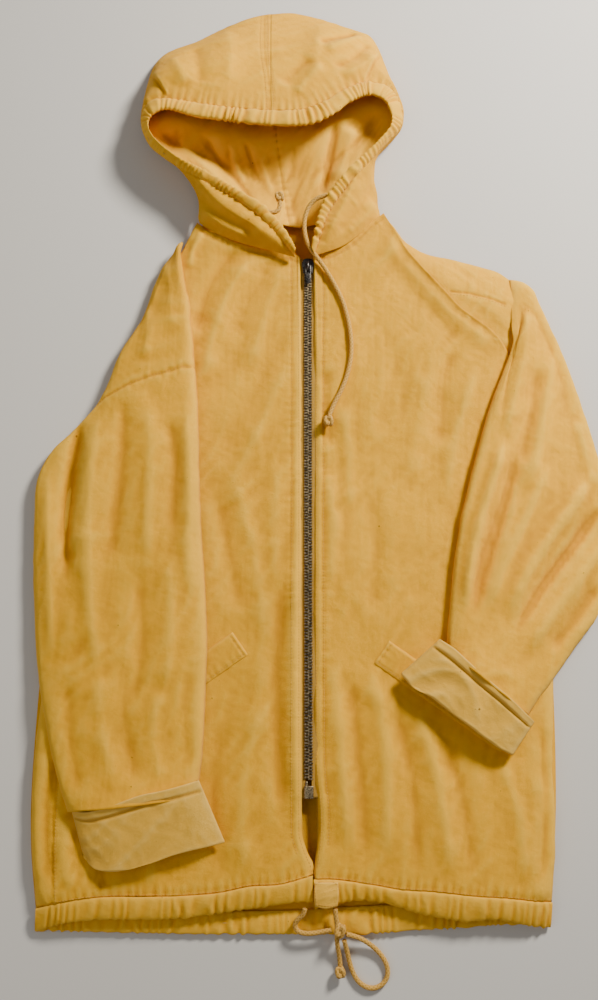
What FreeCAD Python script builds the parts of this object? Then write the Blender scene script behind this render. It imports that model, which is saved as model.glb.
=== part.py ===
"""Hooded zip jacket, laid flat on its back with the front up and the hood opened out.

Frame: +Z up from the surface the jacket lies on, +Y towards the hood, +X towards the
wearer's left. Origin at the middle of the base. Left and right are the wearer's.
"""
import FreeCAD, Part
import math
import os

Vec = FreeCAD.Vector
os.makedirs("parts", exist_ok=True)

# ---------------------------------------------------------------- driving dimensions, mm
CLOTH = 2.0              # thickness of one layer, seams and loft included
FRONT_Z = 16.0           # underside of the front panels
FOLD_Y = 284.7           # line that the hood folds along
FOLD_GAP = 0.4           # clearance each side of the fold line
HEM_Y = -523.0           # lowest edge of the back hem
CROWN_Y = 523.0          # top edge of the hood
HALF_WIDTH = 314.5       # widest reach of the sleeves

ZIP_X = -15.0            # middle of the zip chain
ZIP_TOP = 205.0
ZIP_LENGTH = 592.0
ZIP_Z = 15.5             # middle height of the chain
ZIP_GAP = 8.0            # from the middle of the chain to each front edge
TOOTH_PITCH = 3.17
TOOTH_LENGTH = 4.2       # across the chain
TOOTH_WIDTH = 1.4        # along the chain
TOOTH_HEIGHT = 4.0
TAPE_WIDTH = 14.0
TAPE_THICK = 1.0

SLEEVE_Z = 21.5          # underside of the sleeves, clear of the pocket welts
SLEEVE_DEPTH = 23.5
CUFF_EXTRA = 0.9         # how far a turned-back cuff stands proud of its sleeve

HOOD_ROOF_Z = 50.0       # underside of the crown
HOOD_LOW_Z = 25.0        # top of the hood walls near the fold line
HOOD_TALL_Y = 313.0      # from here on the hood walls stand to the crown
HOOD_SEAM_X = -60.0      # centre seam of the crown
NECK_SEAM_X = -35.0      # centre seam where the hood meets the collar

CORD_R = 2.5             # 5 mm braided cotton cord
CASING_CLEAR = 0.4       # room round a cord inside its casing


# ---------------------------------------------------------------- helpers
def prism(outline, low, high):
    """Straight prism over a closed plan outline."""
    corners = [Vec(x, y, low) for x, y in outline]
    face = Part.Face(Part.makePolygon(corners + corners[:1]))
    return face.extrude(Vec(0, 0, high - low))


def inset_prism(outline, inset, low, high):
    """Prism over the outline moved inwards by the given distance."""
    corners = [Vec(x, y, low) for x, y in outline]
    face = Part.Face(Part.makePolygon(corners + corners[:1]))
    return face.makeOffset2D(-inset, 2).extrude(Vec(0, 0, high - low))


def block(x0, x1, y0, y1, z0, z1):
    """Box between two corners."""
    return Part.makeBox(x1 - x0, y1 - y0, z1 - z0, Vec(x0, y0, z0))


def wall(outline, low, high, zones):
    """Upright wall along an outline, kept only inside the given boxes."""
    ring = prism(outline, low, high).cut(inset_prism(outline, CLOTH, low - 1, high + 1))
    return ring.common(Part.makeCompound(zones))


def rounded_path(points):
    """Straight runs joined by tangent arcs, each as large as its two runs allow."""
    nodes = [Vec(*p) for p in points]
    edges = []
    radii = []
    start = nodes[0]
    for before, corner, after in zip(nodes, nodes[1:], nodes[2:]):
        run_in = corner - before
        run_out = after - corner
        turn = run_in.getAngle(run_out)
        reach = 0.45 * min(run_in.Length, run_out.Length)
        radii.append(reach / math.tan(turn / 2))
        to_start = Vec(run_in).normalize() * -reach
        to_end = Vec(run_out).normalize() * reach
        arc_start = corner + to_start
        arc_end = corner + to_end
        inward = (to_start + to_end).normalize()
        depth = math.hypot(reach, radii[-1]) - radii[-1]
        edges.append(Part.LineSegment(start, arc_start).toShape())
        edges.append(Part.Arc(arc_start, corner + inward * depth, arc_end).toShape())
        start = arc_end
    edges.append(Part.LineSegment(start, nodes[-1]).toShape())
    return Part.Wire(edges), radii


def tube(points, radius):
    """Round tube along a route of straight runs and tangent arcs."""
    path, radii = rounded_path(points)
    first = path.Edges[0]
    direction = first.tangentAt(first.FirstParameter)
    ring = Part.Wire(Part.Circle(Vec(*points[0]), direction, radius).toShape())
    solid = path.makePipeShell([ring], True, False)
    return solid, path.Length, radii


def knot(centre, radius, length, axis):
    """Overhand knot as a short barrel with domed ends."""
    along = Vec(*axis).normalize()
    start = Vec(*centre) - along * (length / 2)
    barrel = Part.makeCylinder(radius, length, start, along)
    return barrel.makeFillet(radius * 0.45, [e for e in barrel.Edges if e.Closed])


def save(name, shape):
    shape.exportStep("parts/" + name + ".step")


def save_cord(name, points):
    solid, length, radii = tube(points, CORD_R)
    expected = math.pi * CORD_R ** 2 * length
    print(f"{name}: length {length:.0f}, least radius {min(radii):.1f},"
          f" volume ratio {solid.Volume / expected:.3f}")
    save(name, solid)
    return solid


def mirror_zip(x):
    """Same place on the other side of the zip chain."""
    return 2 * ZIP_X - x


# ---------------------------------------------------------------- body panels
SIDE_RIGHT = [(-292, -501), (-304, -440), (-302, -300), (-290, -150), (-262, 10)]
SHOULDER_RIGHT = [(-232, 59), (-197, 135), (-163, 212), (-141, 246)]
SIDE_LEFT = [(235, -501), (243, -420), (246, -250), (236, -60), (214, 98)]
SHOULDER_LEFT = [(206, 148), (214, 176), (204, 190), (147, 205), (102, 217), (76, 246)]
NECK_BACK_Y = 247.0


def back_panel():
    outline = SIDE_RIGHT + SHOULDER_RIGHT + SHOULDER_LEFT[::-1] + SIDE_LEFT[::-1]
    return prism(outline, 0, CLOTH)


def front_outline_right():
    edge = ZIP_X - ZIP_GAP
    hem = [(-292, -492), (-197, -485), (-75, -477), (edge, -469)]
    neck = [(edge, ZIP_TOP), (-69, 218), (-114, 232)]
    return hem + neck + SHOULDER_RIGHT[::-1] + SIDE_RIGHT[:0:-1]


def front_outline_left():
    edge = ZIP_X + ZIP_GAP
    hem = [(235, -492), (149, -486), (98, -481), (edge, -469)]
    neck = [(edge, ZIP_TOP), (21, 214), (44, 227)]
    return hem + neck + SHOULDER_LEFT[::-1] + SIDE_LEFT[:0:-1]


def front_panel(outline, zones):
    """Front panel with its edge turned down to the back panel along side and shoulder."""
    sheet = prism(outline, FRONT_Z, FRONT_Z + CLOTH)
    return sheet.fuse(wall(outline, CLOTH, FRONT_Z, zones)).removeSplitter()


def front_panel_right():
    side = block(-310, -255, -489, 0, 0, 30)
    shoulder = block(-205, -140, 130, 243, 0, 30)
    return front_panel(front_outline_right(), [side, shoulder])


def front_panel_left():
    side = block(215, 260, -489, 90, 0, 30)
    shoulder = block(90, 206, 180, 226, 0, 30)
    return front_panel(front_outline_left(), [side, shoulder])


def facing(inner, outer):
    """Strip that backs a front edge behind the zip tape."""
    return block(min(inner, outer), max(inner, outer), -466, ZIP_TOP - 5,
                 FRONT_Z - 3, FRONT_Z - 1.2)


FACING_WIDTH = 38.0
WELT_Z = FRONT_Z + CLOTH


def welt(corner, along, length, width):
    """Slanted pocket welt on a front panel; along points from its inner end outwards."""
    run = Vec(along[0], along[1], 0).normalize()
    out = Vec(-run.y, run.x, 0) if run.x > 0 else Vec(run.y, -run.x, 0)
    base = Vec(*corner, 0)
    corners = [base, base + run * length, base + run * length + out * width,
               base + out * width]
    return prism([(c.x, c.y) for c in corners], WELT_Z, WELT_Z + CLOTH)


BAG_RIGHT = [(-88, -225), (-72, -330), (-95, -425), (-190, -428), (-238, -350)]
BAG_LEFT = [(62, -232), (46, -336), (69, -431), (164, -434), (212, -356)]


def back_neck_tape():
    return block(-48, 10, NECK_BACK_Y - 8, NECK_BACK_Y - 1, CLOTH, CLOTH + 1.2)


# ---------------------------------------------------------------- drawcord hem
BACK_CASING_Z = 8.0
FRONT_CASING = (13.5, 20.8)
HEM_CORD_FRONT_Z = 17.1
HEM_CORD_BACK_Z = 4.0
HEM_EXIT_RIGHT = (-19, -495, HEM_CORD_FRONT_Z)
HEM_EXIT_LEFT = (12, -495.5, HEM_CORD_FRONT_Z)
HEM_ROUTE = [HEM_EXIT_RIGHT, (-21, -481, HEM_CORD_FRONT_Z), (-33, -480, HEM_CORD_FRONT_Z),
             (-60, -482, HEM_CORD_FRONT_Z), (-120, -488, HEM_CORD_FRONT_Z),
             (-190, -496, HEM_CORD_FRONT_Z), (-250, -499, HEM_CORD_FRONT_Z),
             (-288, -500, HEM_CORD_FRONT_Z), (-289, -513, HEM_CORD_BACK_Z),
             (-250, -514, HEM_CORD_BACK_Z), (-190, -512.5, HEM_CORD_BACK_Z),
             (-120, -512, HEM_CORD_BACK_Z), (-40, -512.5, HEM_CORD_BACK_Z),
             (40, -512, HEM_CORD_BACK_Z), (110, -512.5, HEM_CORD_BACK_Z),
             (180, -512, HEM_CORD_BACK_Z), (229, -513, HEM_CORD_BACK_Z),
             (230, -500, HEM_CORD_FRONT_Z), (190, -501, HEM_CORD_FRONT_Z),
             (130, -494, HEM_CORD_FRONT_Z), (80, -487, HEM_CORD_FRONT_Z),
             (40, -482, HEM_CORD_FRONT_Z), (26, -479.5, HEM_CORD_FRONT_Z),
             (13, -482, HEM_CORD_FRONT_Z), HEM_EXIT_LEFT]


def hem_tunnel():
    """Room for the hem cord inside the casings."""
    return tube(HEM_ROUTE, CORD_R + CASING_CLEAR)[0]


def hem_casing_back():
    outline = [(-296, -501), (-292, HEM_Y), (232, HEM_Y), (238, -501)]
    lower = prism(outline, 0, CLOTH)
    upper_outline = [(-296, -504), (-292, HEM_Y), (232, HEM_Y), (238, -504)]
    return lower.fuse(prism(upper_outline, CLOTH, BACK_CASING_Z)).removeSplitter()


def hem_casing_front(outline, side_block):
    """Front casing, carried down at its outer end to the back casing."""
    band = prism(outline, *FRONT_CASING)
    return band.fuse(side_block).removeSplitter()


def hem_casing_front_right():
    outline = [(-296, -492.5), (-197, -485.5), (-75, -477.5), (-15, -470), (-15, -493),
               (-60, -497), (-126, -505), (-187, -508), (-292, -517)]
    side = block(-296, -281, -516, -496, BACK_CASING_Z, FRONT_CASING[0])
    return hem_casing_front(outline, side)


def hem_casing_front_left():
    outline = [(238, -492.5), (149, -486.5), (98, -481.5), (5, -471), (5, -493),
               (78, -498), (130, -505), (180, -511), (234, -517)]
    side = block(223, 238, -516, -496, BACK_CASING_Z, FRONT_CASING[0])
    return hem_casing_front(outline, side)


# ---------------------------------------------------------------- sleeves and cuffs
SLEEVE_RIGHT_OUT = [(-195, 138), (-250, 30), (-303, -40), (-HALF_WIDTH, -100),
                    (-304, -240), (-266, -385)]
SLEEVE_RIGHT_IN = [(-122, -371), (-121, -246), (-131, -56), (-143, 66)]
CUFF_RIGHT = [(-270, -384), (-244, -457), (-94, -430), (-118, -370)]
SLEEVE_LEFT_OUT = [(212, 181), (232, 172), (274, 62), (300, -42), (HALF_WIDTH, -140),
                   (294, -198), (214, -315)]
SLEEVE_LEFT_IN = [(124, -231), (141, -172), (166, -36), (200, 69), (212, 98)]
CUFF_LEFT = [(219, -322), (190, -344), (78, -264), (120, -224)]


def flat_tube(outline, ends, low, high):
    """Flattened cloth tube: a closed prism hollowed through, open over the end boxes."""
    outer = prism(outline, low, high)
    inner = inset_prism(outline, CLOTH, low + CLOTH, high - CLOTH)
    openings = Part.makeCompound(ends).common(prism(outline, low + CLOTH, high - CLOTH))
    return outer.cut(inner).cut(openings)


def end_box(a, b, depth, low, high):
    """Box along the line from a to b, reaching the given depth to both of its sides."""
    run = Vec(b[0] - a[0], b[1] - a[1], 0)
    side = Vec(-run.y, run.x, 0).normalize() * depth
    margin = Vec(run).normalize() * (CLOTH + 0.5)
    start = Vec(*a, 0) + margin
    stop = Vec(*b, 0) - margin
    corners = [start - side, stop - side, stop + side, start + side]
    return prism([(c.x, c.y) for c in corners], low, high)


def sleeve(outer_edge, inner_edge):
    top = SLEEVE_Z + SLEEVE_DEPTH
    outline = outer_edge + inner_edge
    shoulder = end_box(inner_edge[-1], outer_edge[0], 4, SLEEVE_Z, top)
    wrist = end_box(outer_edge[-1], inner_edge[0], 4, SLEEVE_Z, top)
    return flat_tube(outline, [shoulder, wrist], SLEEVE_Z, top)


def cuff(corners, sleeve_outline):
    """Turned-back cuff, a short wider tube that starts where its sleeve ends."""
    low = SLEEVE_Z - CUFF_EXTRA
    top = SLEEVE_Z + SLEEVE_DEPTH + CUFF_EXTRA
    arm_end = end_box(corners[0], corners[3], 4, low, top)
    mouth = end_box(corners[1], corners[2], 4, low, top)
    ring = flat_tube(corners, [arm_end, mouth], low, top)
    return ring.cut(prism(sleeve_outline, low - 1, top + 1))


# ---------------------------------------------------------------- hood
HOOD_OUTLINE = [(-139, FOLD_Y), (-157, 316), (-191, 340), (-209, 378), (-205, 420),
                (-190, 458), (-150, 484), (-100, 511), (-45, CROWN_Y), (10, 514),
                (56, 492), (74, 450), (88, 410), (96, 380), (84, 351), (64, 326),
                (62, FOLD_Y)]
FACE_ROUTE = [(-146, 319), (-172, 336), (-180, 358), (-160, 370), (-105, 362),
              (-50, 356), (-5, 362), (35, 384), (66, 384), (74, 364), (60, 343),
              (42, 322)]
CASING_Z = 46.0
CASING_R = 6.5


def face_route_3d():
    return [(x, y, CASING_Z) for x, y in FACE_ROUTE]


def hood_shell():
    """Both halves of the hood above the fold line, before the centre seam splits them."""
    floor = prism(HOOD_OUTLINE, 0, CLOTH)
    low_zones = [block(-230, -135, FOLD_Y - 1, HOOD_TALL_Y + 5, 0, 60),
                 block(58, 120, FOLD_Y - 1, HOOD_TALL_Y + 5, 0, 60)]
    tall_zone = block(-230, 120, HOOD_TALL_Y, CROWN_Y + 10, 0, 60)
    low_wall = wall(HOOD_OUTLINE, CLOTH, HOOD_LOW_Z, low_zones)
    tall_wall = wall(HOOD_OUTLINE, CLOTH, HOOD_ROOF_Z, [tall_zone])
    crown_edge = [(-230, 362), (-180, 374), (-160, 378), (-105, 370), (-50, 364),
                  (-8, 370), (30, 393), (70, 393), (120, 372), (120, 540), (-230, 540)]
    crown = prism(HOOD_OUTLINE, HOOD_ROOF_Z, HOOD_ROOF_Z + CLOTH)
    crown = crown.common(prism(crown_edge, 0, 80))
    whole = floor.fuse([low_wall, tall_wall, crown])
    behind_fold = block(-230, 120, FOLD_Y + FOLD_GAP, 560, -5, 80)
    casing = tube(face_route_3d(), CASING_R)[0]
    return whole.common(behind_fold).cut(casing).removeSplitter()


def hood_half(shell, low_x, high_x):
    return shell.common(block(low_x, high_x, 200, 560, -5, 80))


def hood_neck(outline, flap, wall_zone):
    """Lower corner of the hood: floor, side wall and the front flap over the collar."""
    floor = prism(outline, 0, CLOTH)
    side = wall(outline, CLOTH, HOOD_LOW_Z - CLOTH, [wall_zone])
    front = prism(flap, HOOD_LOW_Z - CLOTH, HOOD_LOW_Z)
    return floor.fuse([side, front]).removeSplitter()


def hood_neck_right():
    top = FOLD_Y - FOLD_GAP
    outline = [(-141, NECK_BACK_Y), (-139, top), (NECK_SEAM_X, top),
               (NECK_SEAM_X, NECK_BACK_Y)]
    flap = [(-141, NECK_BACK_Y), (-139, top), (-108, top), (-66, 256), (-40, 232),
            (-25, 212), (-69, 219), (-114, 233)]
    return hood_neck(outline, flap, block(-142, -137, 249, 290, 0, 40))


def hood_neck_left():
    top = FOLD_Y - FOLD_GAP
    outline = [(70, NECK_BACK_Y), (62, top), (NECK_SEAM_X, top), (NECK_SEAM_X, NECK_BACK_Y)]
    flap = [(70, NECK_BACK_Y), (62, top), (22, top), (2, 244), (-6, 212), (21, 216),
            (44, 229)]
    return hood_neck(outline, flap, block(58, 72, 249, 290, 0, 40))


# ---------------------------------------------------------------- zip
def zip_tape(side):
    """Woven tape; side is -1 for the wearer's right and +1 for the left."""
    inner = ZIP_X + side * (TOOTH_LENGTH - 0.8)
    outer = ZIP_X + side * TAPE_WIDTH
    return block(min(inner, outer), max(inner, outer), ZIP_TOP - ZIP_LENGTH, ZIP_TOP,
                 ZIP_Z - TAPE_THICK / 2, ZIP_Z + TAPE_THICK / 2 - 0.1)


def zip_teeth(side):
    """Row of teeth, half a pitch out of step with the other side."""
    low_z = ZIP_Z - TOOTH_HEIGHT / 2
    inner = ZIP_X - side * 0.8
    outer = inner + side * TOOTH_LENGTH
    first = ZIP_TOP - 6.0 - (TOOTH_PITCH / 2 if side > 0 else 0)
    count = int((ZIP_LENGTH - 24.0) / TOOTH_PITCH)
    teeth = []
    for index in range(count):
        y = first - index * TOOTH_PITCH
        teeth.append(block(min(inner, outer), max(inner, outer), y - TOOTH_WIDTH, y,
                           low_z, low_z + TOOTH_HEIGHT))
    return Part.makeCompound(teeth)


def zip_top_stop(side):
    inner = ZIP_X + side * 0.6
    outer = ZIP_X + side * 3.4
    return block(min(inner, outer), max(inner, outer), ZIP_TOP - 5.0, ZIP_TOP - 0.5,
                 ZIP_Z - 1.8, ZIP_Z + 1.8)


ZIP_BOX_TOP = ZIP_TOP - ZIP_LENGTH + 18.0
ZIP_END = ZIP_TOP - ZIP_LENGTH


def zip_box():
    """Retainer box on the left tape, with a socket for the pin."""
    body = block(ZIP_X - 3.3, ZIP_X + 3.4, ZIP_END, ZIP_BOX_TOP - 6.5, ZIP_Z - 2.2,
                 ZIP_Z + 2.2)
    socket = block(ZIP_X - 2.9, ZIP_X - 0.3, ZIP_END + 1.5, ZIP_BOX_TOP, ZIP_Z - 1.3,
                   ZIP_Z + 1.3)
    return body.cut(socket)


def zip_pin():
    return block(ZIP_X - 2.6, ZIP_X - 0.6, ZIP_END + 2.0, ZIP_BOX_TOP - 1.5, ZIP_Z - 1.0,
                 ZIP_Z + 1.0)


SLIDER_HALF = 6.6
SLIDER_LENGTH = 18.0
SLIDER_TOP_Y = ZIP_TOP - 1.0
PLATE_GAP = TOOTH_HEIGHT / 2 + 0.3
PLATE = 2.0
PULL_Y = SLIDER_TOP_Y - 10.0
PULL_Z = ZIP_Z + PLATE_GAP + PLATE + 1.6
PULL_LENGTH = 21.0


def slider_plate(low):
    """Wing of the slider, wide at the top and narrowing over the closed chain."""
    end = SLIDER_TOP_Y - SLIDER_LENGTH
    outline = [(ZIP_X - SLIDER_HALF, SLIDER_TOP_Y - 3), (ZIP_X - 3.5, SLIDER_TOP_Y),
               (ZIP_X + 3.5, SLIDER_TOP_Y), (ZIP_X + SLIDER_HALF, SLIDER_TOP_Y - 3),
               (ZIP_X + 5.2, end), (ZIP_X - 5.2, end)]
    return prism(outline, low, low + PLATE)


def zip_slider():
    """Upper wing with flanges and bail, and the lower wing."""
    upper_z = ZIP_Z + PLATE_GAP
    upper = slider_plate(upper_z)
    flanges = []
    for side in (-1, 1):
        inner = ZIP_X + side * 3.8
        outer = ZIP_X + side * 5.2
        flanges.append(block(min(inner, outer), max(inner, outer),
                             SLIDER_TOP_Y - SLIDER_LENGTH, SLIDER_TOP_Y - 4,
                             ZIP_Z + 0.8, upper_z))
    bail = block(ZIP_X - 1.0, ZIP_X + 1.0, PULL_Y - 5.0, PULL_Y + 5.0, upper_z + PLATE,
                 PULL_Z + 2.8)
    eye = block(ZIP_X - 2, ZIP_X + 2, PULL_Y - 2.4, PULL_Y + 2.4, PULL_Z - 1.3,
                PULL_Z + 1.3)
    upper = upper.fuse(flanges + [bail.cut(eye)]).removeSplitter()
    lower = slider_plate(ZIP_Z - PLATE_GAP - PLATE)
    return Part.makeCompound([upper, lower])


def zip_pull():
    """Pull tab whose cross bar turns in the eye of the slider's bail."""
    bar = Part.makeCylinder(0.8, 6.4, Vec(ZIP_X - 3.2, PULL_Y, PULL_Z), Vec(1, 0, 0))
    arms = []
    for side in (-1, 1):
        inner = ZIP_X + side * 1.4
        outer = ZIP_X + side * 3.2
        arms.append(block(min(inner, outer), max(inner, outer), PULL_Y - 9, PULL_Y,
                          PULL_Z - 0.8, PULL_Z + 0.8))
    tab = block(ZIP_X - 3.6, ZIP_X + 3.6, PULL_Y - PULL_LENGTH, PULL_Y - 7.5,
                PULL_Z - 0.9, PULL_Z + 0.9)
    return bar.fuse(arms + [tab]).removeSplitter()


# ---------------------------------------------------------------- free cords
HOOD_CORD_LONG = [(7, 272, 37), (-4, 270, 36), (-14, 261, 33), (-19, 247, 31),
                  (-19, 230, 30), (-14, 214, 28), (-3, 201, 24.5), (7, 187, 21.6),
                  (17, 169, 20.8), (26, 148, 21), (32, 121, 20.8), (34, 95, 21),
                  (30, 71, 20.8), (22, 49, 21), (13, 33, 21.4), (8, 19, 23)]
HOOD_CORD_SHORT = [(-70, 262, 29), (-61, 255, 30), (-52, 254, 30), (-46, 260, 30),
                   (-47, 268, 30.5)]
HEM_CORD_RIGHT = [HEM_EXIT_RIGHT, (-20, -501, 16), (-26, -506, 14), (-30, -512, 12),
                  (-27, -518.5, 11.1), (-18, -521, 11), (-6, -520, 11), (8, -517, 11.6)]
HEM_CORD_LEFT = [HEM_EXIT_LEFT, (12, -501, 16.5), (13.5, -509, 14.5), (14, -517, 13.5),
                 (13.5, -526, 11.8), (14.5, -535, 8), (16.5, -544, 4.4), (17, -554, 3)]
HEM_CORD_LOOP = [(23, -521, 12.5), (33, -523, 11.5), (45, -530, 7), (57, -540, 3.2),
                 (65, -552, 2.8), (66, -564, 2.8), (59, -573, 2.8), (48, -576, 2.8),
                 (37, -571, 2.8), (30, -561, 2.8), (26, -548, 3.4), (23.5, -537, 7),
                 (21, -527, 11.5)]


# ---------------------------------------------------------------- build
save("back_panel", back_panel())
save("front_panel_right", front_panel_right())
save("front_panel_left", front_panel_left())
EDGE_RIGHT = ZIP_X - ZIP_GAP
EDGE_LEFT = ZIP_X + ZIP_GAP
save("front_facing_right", facing(EDGE_RIGHT, EDGE_RIGHT - FACING_WIDTH))
save("front_facing_left", facing(EDGE_LEFT, EDGE_LEFT + FACING_WIDTH))
save("back_neck_tape", back_neck_tape())
save("pocket_bag_right", prism(BAG_RIGHT, FRONT_Z - 3, FRONT_Z))
save("pocket_bag_left", prism(BAG_LEFT, FRONT_Z - 3, FRONT_Z))
save("pocket_welt_right", welt((-79, -240), (-0.82, -0.573), 165, 30))
save("pocket_welt_left", welt((54, -249), (0.82, -0.573), 165, 30))

TUNNEL = hem_tunnel()
save("hem_casing_back", hem_casing_back().cut(TUNNEL))
save("hem_casing_front_right", hem_casing_front_right().cut(TUNNEL))
save("hem_casing_front_left", hem_casing_front_left().cut(TUNNEL))
save("hem_cord_tab", block(-8, 14, -492, -470.5, FRONT_CASING[1], FRONT_CASING[1] + 1.5))
save_cord("hem_cord_in_casing", HEM_ROUTE)

save("sleeve_right", sleeve(SLEEVE_RIGHT_OUT, SLEEVE_RIGHT_IN))
save("sleeve_left", sleeve(SLEEVE_LEFT_OUT, SLEEVE_LEFT_IN))
save("cuff_right", cuff(CUFF_RIGHT, SLEEVE_RIGHT_OUT + SLEEVE_RIGHT_IN))
save("cuff_left", cuff(CUFF_LEFT, SLEEVE_LEFT_OUT + SLEEVE_LEFT_IN))

SHELL = hood_shell()
save("hood_panel_right", hood_half(SHELL, -230, HOOD_SEAM_X))
save("hood_panel_left", hood_half(SHELL, HOOD_SEAM_X, 120))
CASING = tube(face_route_3d(), CASING_R)[0]
save("hood_casing", CASING.cut(tube(face_route_3d(), CORD_R + CASING_CLEAR)[0]))
save_cord("hood_cord_in_casing", face_route_3d())
save("hood_neck_right", hood_neck_right())
save("hood_neck_left", hood_neck_left())

for label, side in (("right", -1), ("left", 1)):
    save("zip_tape_" + label, zip_tape(side))
    save("zip_teeth_" + label, zip_teeth(side))
    save("zip_top_stop_" + label, zip_top_stop(side))
save("zip_box", zip_box())
save("zip_pin", zip_pin())
save("zip_slider", zip_slider())
save("zip_pull", zip_pull())

save_cord("hood_cord_long", HOOD_CORD_LONG)
save("hood_knot_long", knot((7.2, 13.2, 24), 5.6, 12, (0.1, 1, 0)))
save_cord("hood_cord_short", HOOD_CORD_SHORT)
save("hood_knot_short", knot((-47.2, 273, 31.5), 5.2, 10, (0, 1, 0.1)))
save_cord("hem_cord_right", HEM_CORD_RIGHT)
save_cord("hem_cord_left", HEM_CORD_LEFT)
save_cord("hem_cord_loop", HEM_CORD_LOOP)
save("hem_tie_knot", knot((16.5, -517, 14.6), 6.2, 15, (0.5, 1, 0)))
save("hem_end_knot", knot((17, -559, 5.9), 5.6, 11, (0, 1, 0)))
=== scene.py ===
"""Looks of the hooded zip jacket: cloth, seams, stitches, zip, cords, lights and camera.

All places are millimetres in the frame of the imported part, turned into metres when a
mesh is made: +X to the wearer's left, +Y to the hood, +Z up from the floor.
"""
import math

import bpy
import numpy as np
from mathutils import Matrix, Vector
from mathutils.bvhtree import BVHTree


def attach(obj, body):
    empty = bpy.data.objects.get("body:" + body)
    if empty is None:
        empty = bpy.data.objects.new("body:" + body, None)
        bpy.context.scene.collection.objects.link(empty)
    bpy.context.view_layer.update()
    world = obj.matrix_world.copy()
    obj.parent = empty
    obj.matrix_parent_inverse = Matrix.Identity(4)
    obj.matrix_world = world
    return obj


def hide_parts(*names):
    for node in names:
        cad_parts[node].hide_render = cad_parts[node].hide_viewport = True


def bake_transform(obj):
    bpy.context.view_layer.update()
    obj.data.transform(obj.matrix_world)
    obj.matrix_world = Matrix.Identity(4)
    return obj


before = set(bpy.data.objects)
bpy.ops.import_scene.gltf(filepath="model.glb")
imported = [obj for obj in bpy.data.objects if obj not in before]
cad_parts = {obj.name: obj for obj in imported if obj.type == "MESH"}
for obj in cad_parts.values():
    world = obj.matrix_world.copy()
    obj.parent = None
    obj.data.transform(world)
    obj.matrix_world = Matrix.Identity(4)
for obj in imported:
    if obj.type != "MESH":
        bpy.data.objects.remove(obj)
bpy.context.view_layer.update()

MM = 0.001
TAU = 2 * math.pi
ZIP_X = -15.0
ZIP_TOP = 205.0
ZIP_END = -387.0


# ================================================================ curves and grids
def resample(points, count):
    """Smooth curve through given points, at evenly spaced places."""
    pts = np.array(points, float)
    if len(pts) == 2:
        return pts[0] + np.linspace(0, 1, count)[:, None] * (pts[1] - pts[0])
    chord = np.r_[0, np.cumsum(np.linalg.norm(np.diff(pts, axis=0), axis=1) + 1e-6)]
    slope = np.gradient(pts, chord, axis=0)
    dense = []
    for i in range(len(pts) - 1):
        span = chord[i + 1] - chord[i]
        t = np.linspace(0, 1, 16, endpoint=False)[:, None]
        dense.append((2 * t**3 - 3 * t**2 + 1) * pts[i] + (t**3 - 2 * t**2 + t) * span * slope[i]
                     + (3 * t**2 - 2 * t**3) * pts[i + 1] + (t**3 - t**2) * span * slope[i + 1])
    line = np.vstack(dense + [pts[-1:]])
    return even(line, count)


def even(line, count):
    """The same line with evenly spaced points."""
    run = np.r_[0, np.cumsum(np.linalg.norm(np.diff(line, axis=0), axis=1))]
    at = np.linspace(0, run[-1], count)
    return np.stack([np.interp(at, run, line[:, k]) for k in range(line.shape[1])], axis=1)


def length_of(line):
    return float(np.linalg.norm(np.diff(np.array(line, float), axis=0), axis=1).sum())


def coons(south, north, west, east, nu, nv):
    """Sheet spanned between four border curves; rows run from south to north."""
    s, n = resample(south, nu), resample(north, nu)
    w, e = resample(west, nv), resample(east, nv)
    u = np.linspace(0, 1, nu)[None, :, None]
    v = np.linspace(0, 1, nv)[:, None, None]
    ruled = (1 - v) * s[None] + v * n[None] + (1 - u) * w[:, None] + u * e[:, None]
    corners = ((1 - u) * (1 - v) * s[0] + u * (1 - v) * s[-1]
               + (1 - u) * v * n[0] + u * v * n[-1])
    return ruled - corners


def lerp(a, b, t):
    return a + (b - a) * t


def smooth_step(x):
    x = np.clip(x, 0, 1)
    return x * x * (3 - 2 * x)


# ================================================================ noise and folds
def noise(x, y, seed):
    """Seeded gradient noise, about -0.7 to 0.7, one feature per unit."""
    rng = np.random.RandomState(seed)
    angle = rng.uniform(0, TAU, (64, 64))
    x0, y0 = np.floor(x).astype(int), np.floor(y).astype(int)
    fx, fy = x - x0, y - y0
    total = 0
    for dx in (0, 1):
        for dy in (0, 1):
            a = angle[(x0 + dx) % 64, (y0 + dy) % 64]
            dot = np.cos(a) * (fx - dx) + np.sin(a) * (fy - dy)
            wx = 1 - smooth_step(np.abs(fx - dx))
            wy = 1 - smooth_step(np.abs(fy - dy))
            total = total + dot * wx * wy
    return total * 1.4


def turned(P, degrees):
    a = math.radians(degrees)
    x, y = P[..., 0], P[..., 1]
    return x * math.cos(a) + y * math.sin(a), -x * math.sin(a) + y * math.cos(a)


def creases(P, along, across, degrees, seed):
    """Soft creases of worn cotton: sharp-topped waves that run along one direction."""
    x, y = turned(P, degrees)
    warp = noise(x / 90, y / 90, seed + 7) * 0.9
    n = noise(x / along + warp, y / across + warp, seed)
    return 0.5 - np.sqrt(n * n + 0.004) * 1.6


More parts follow.
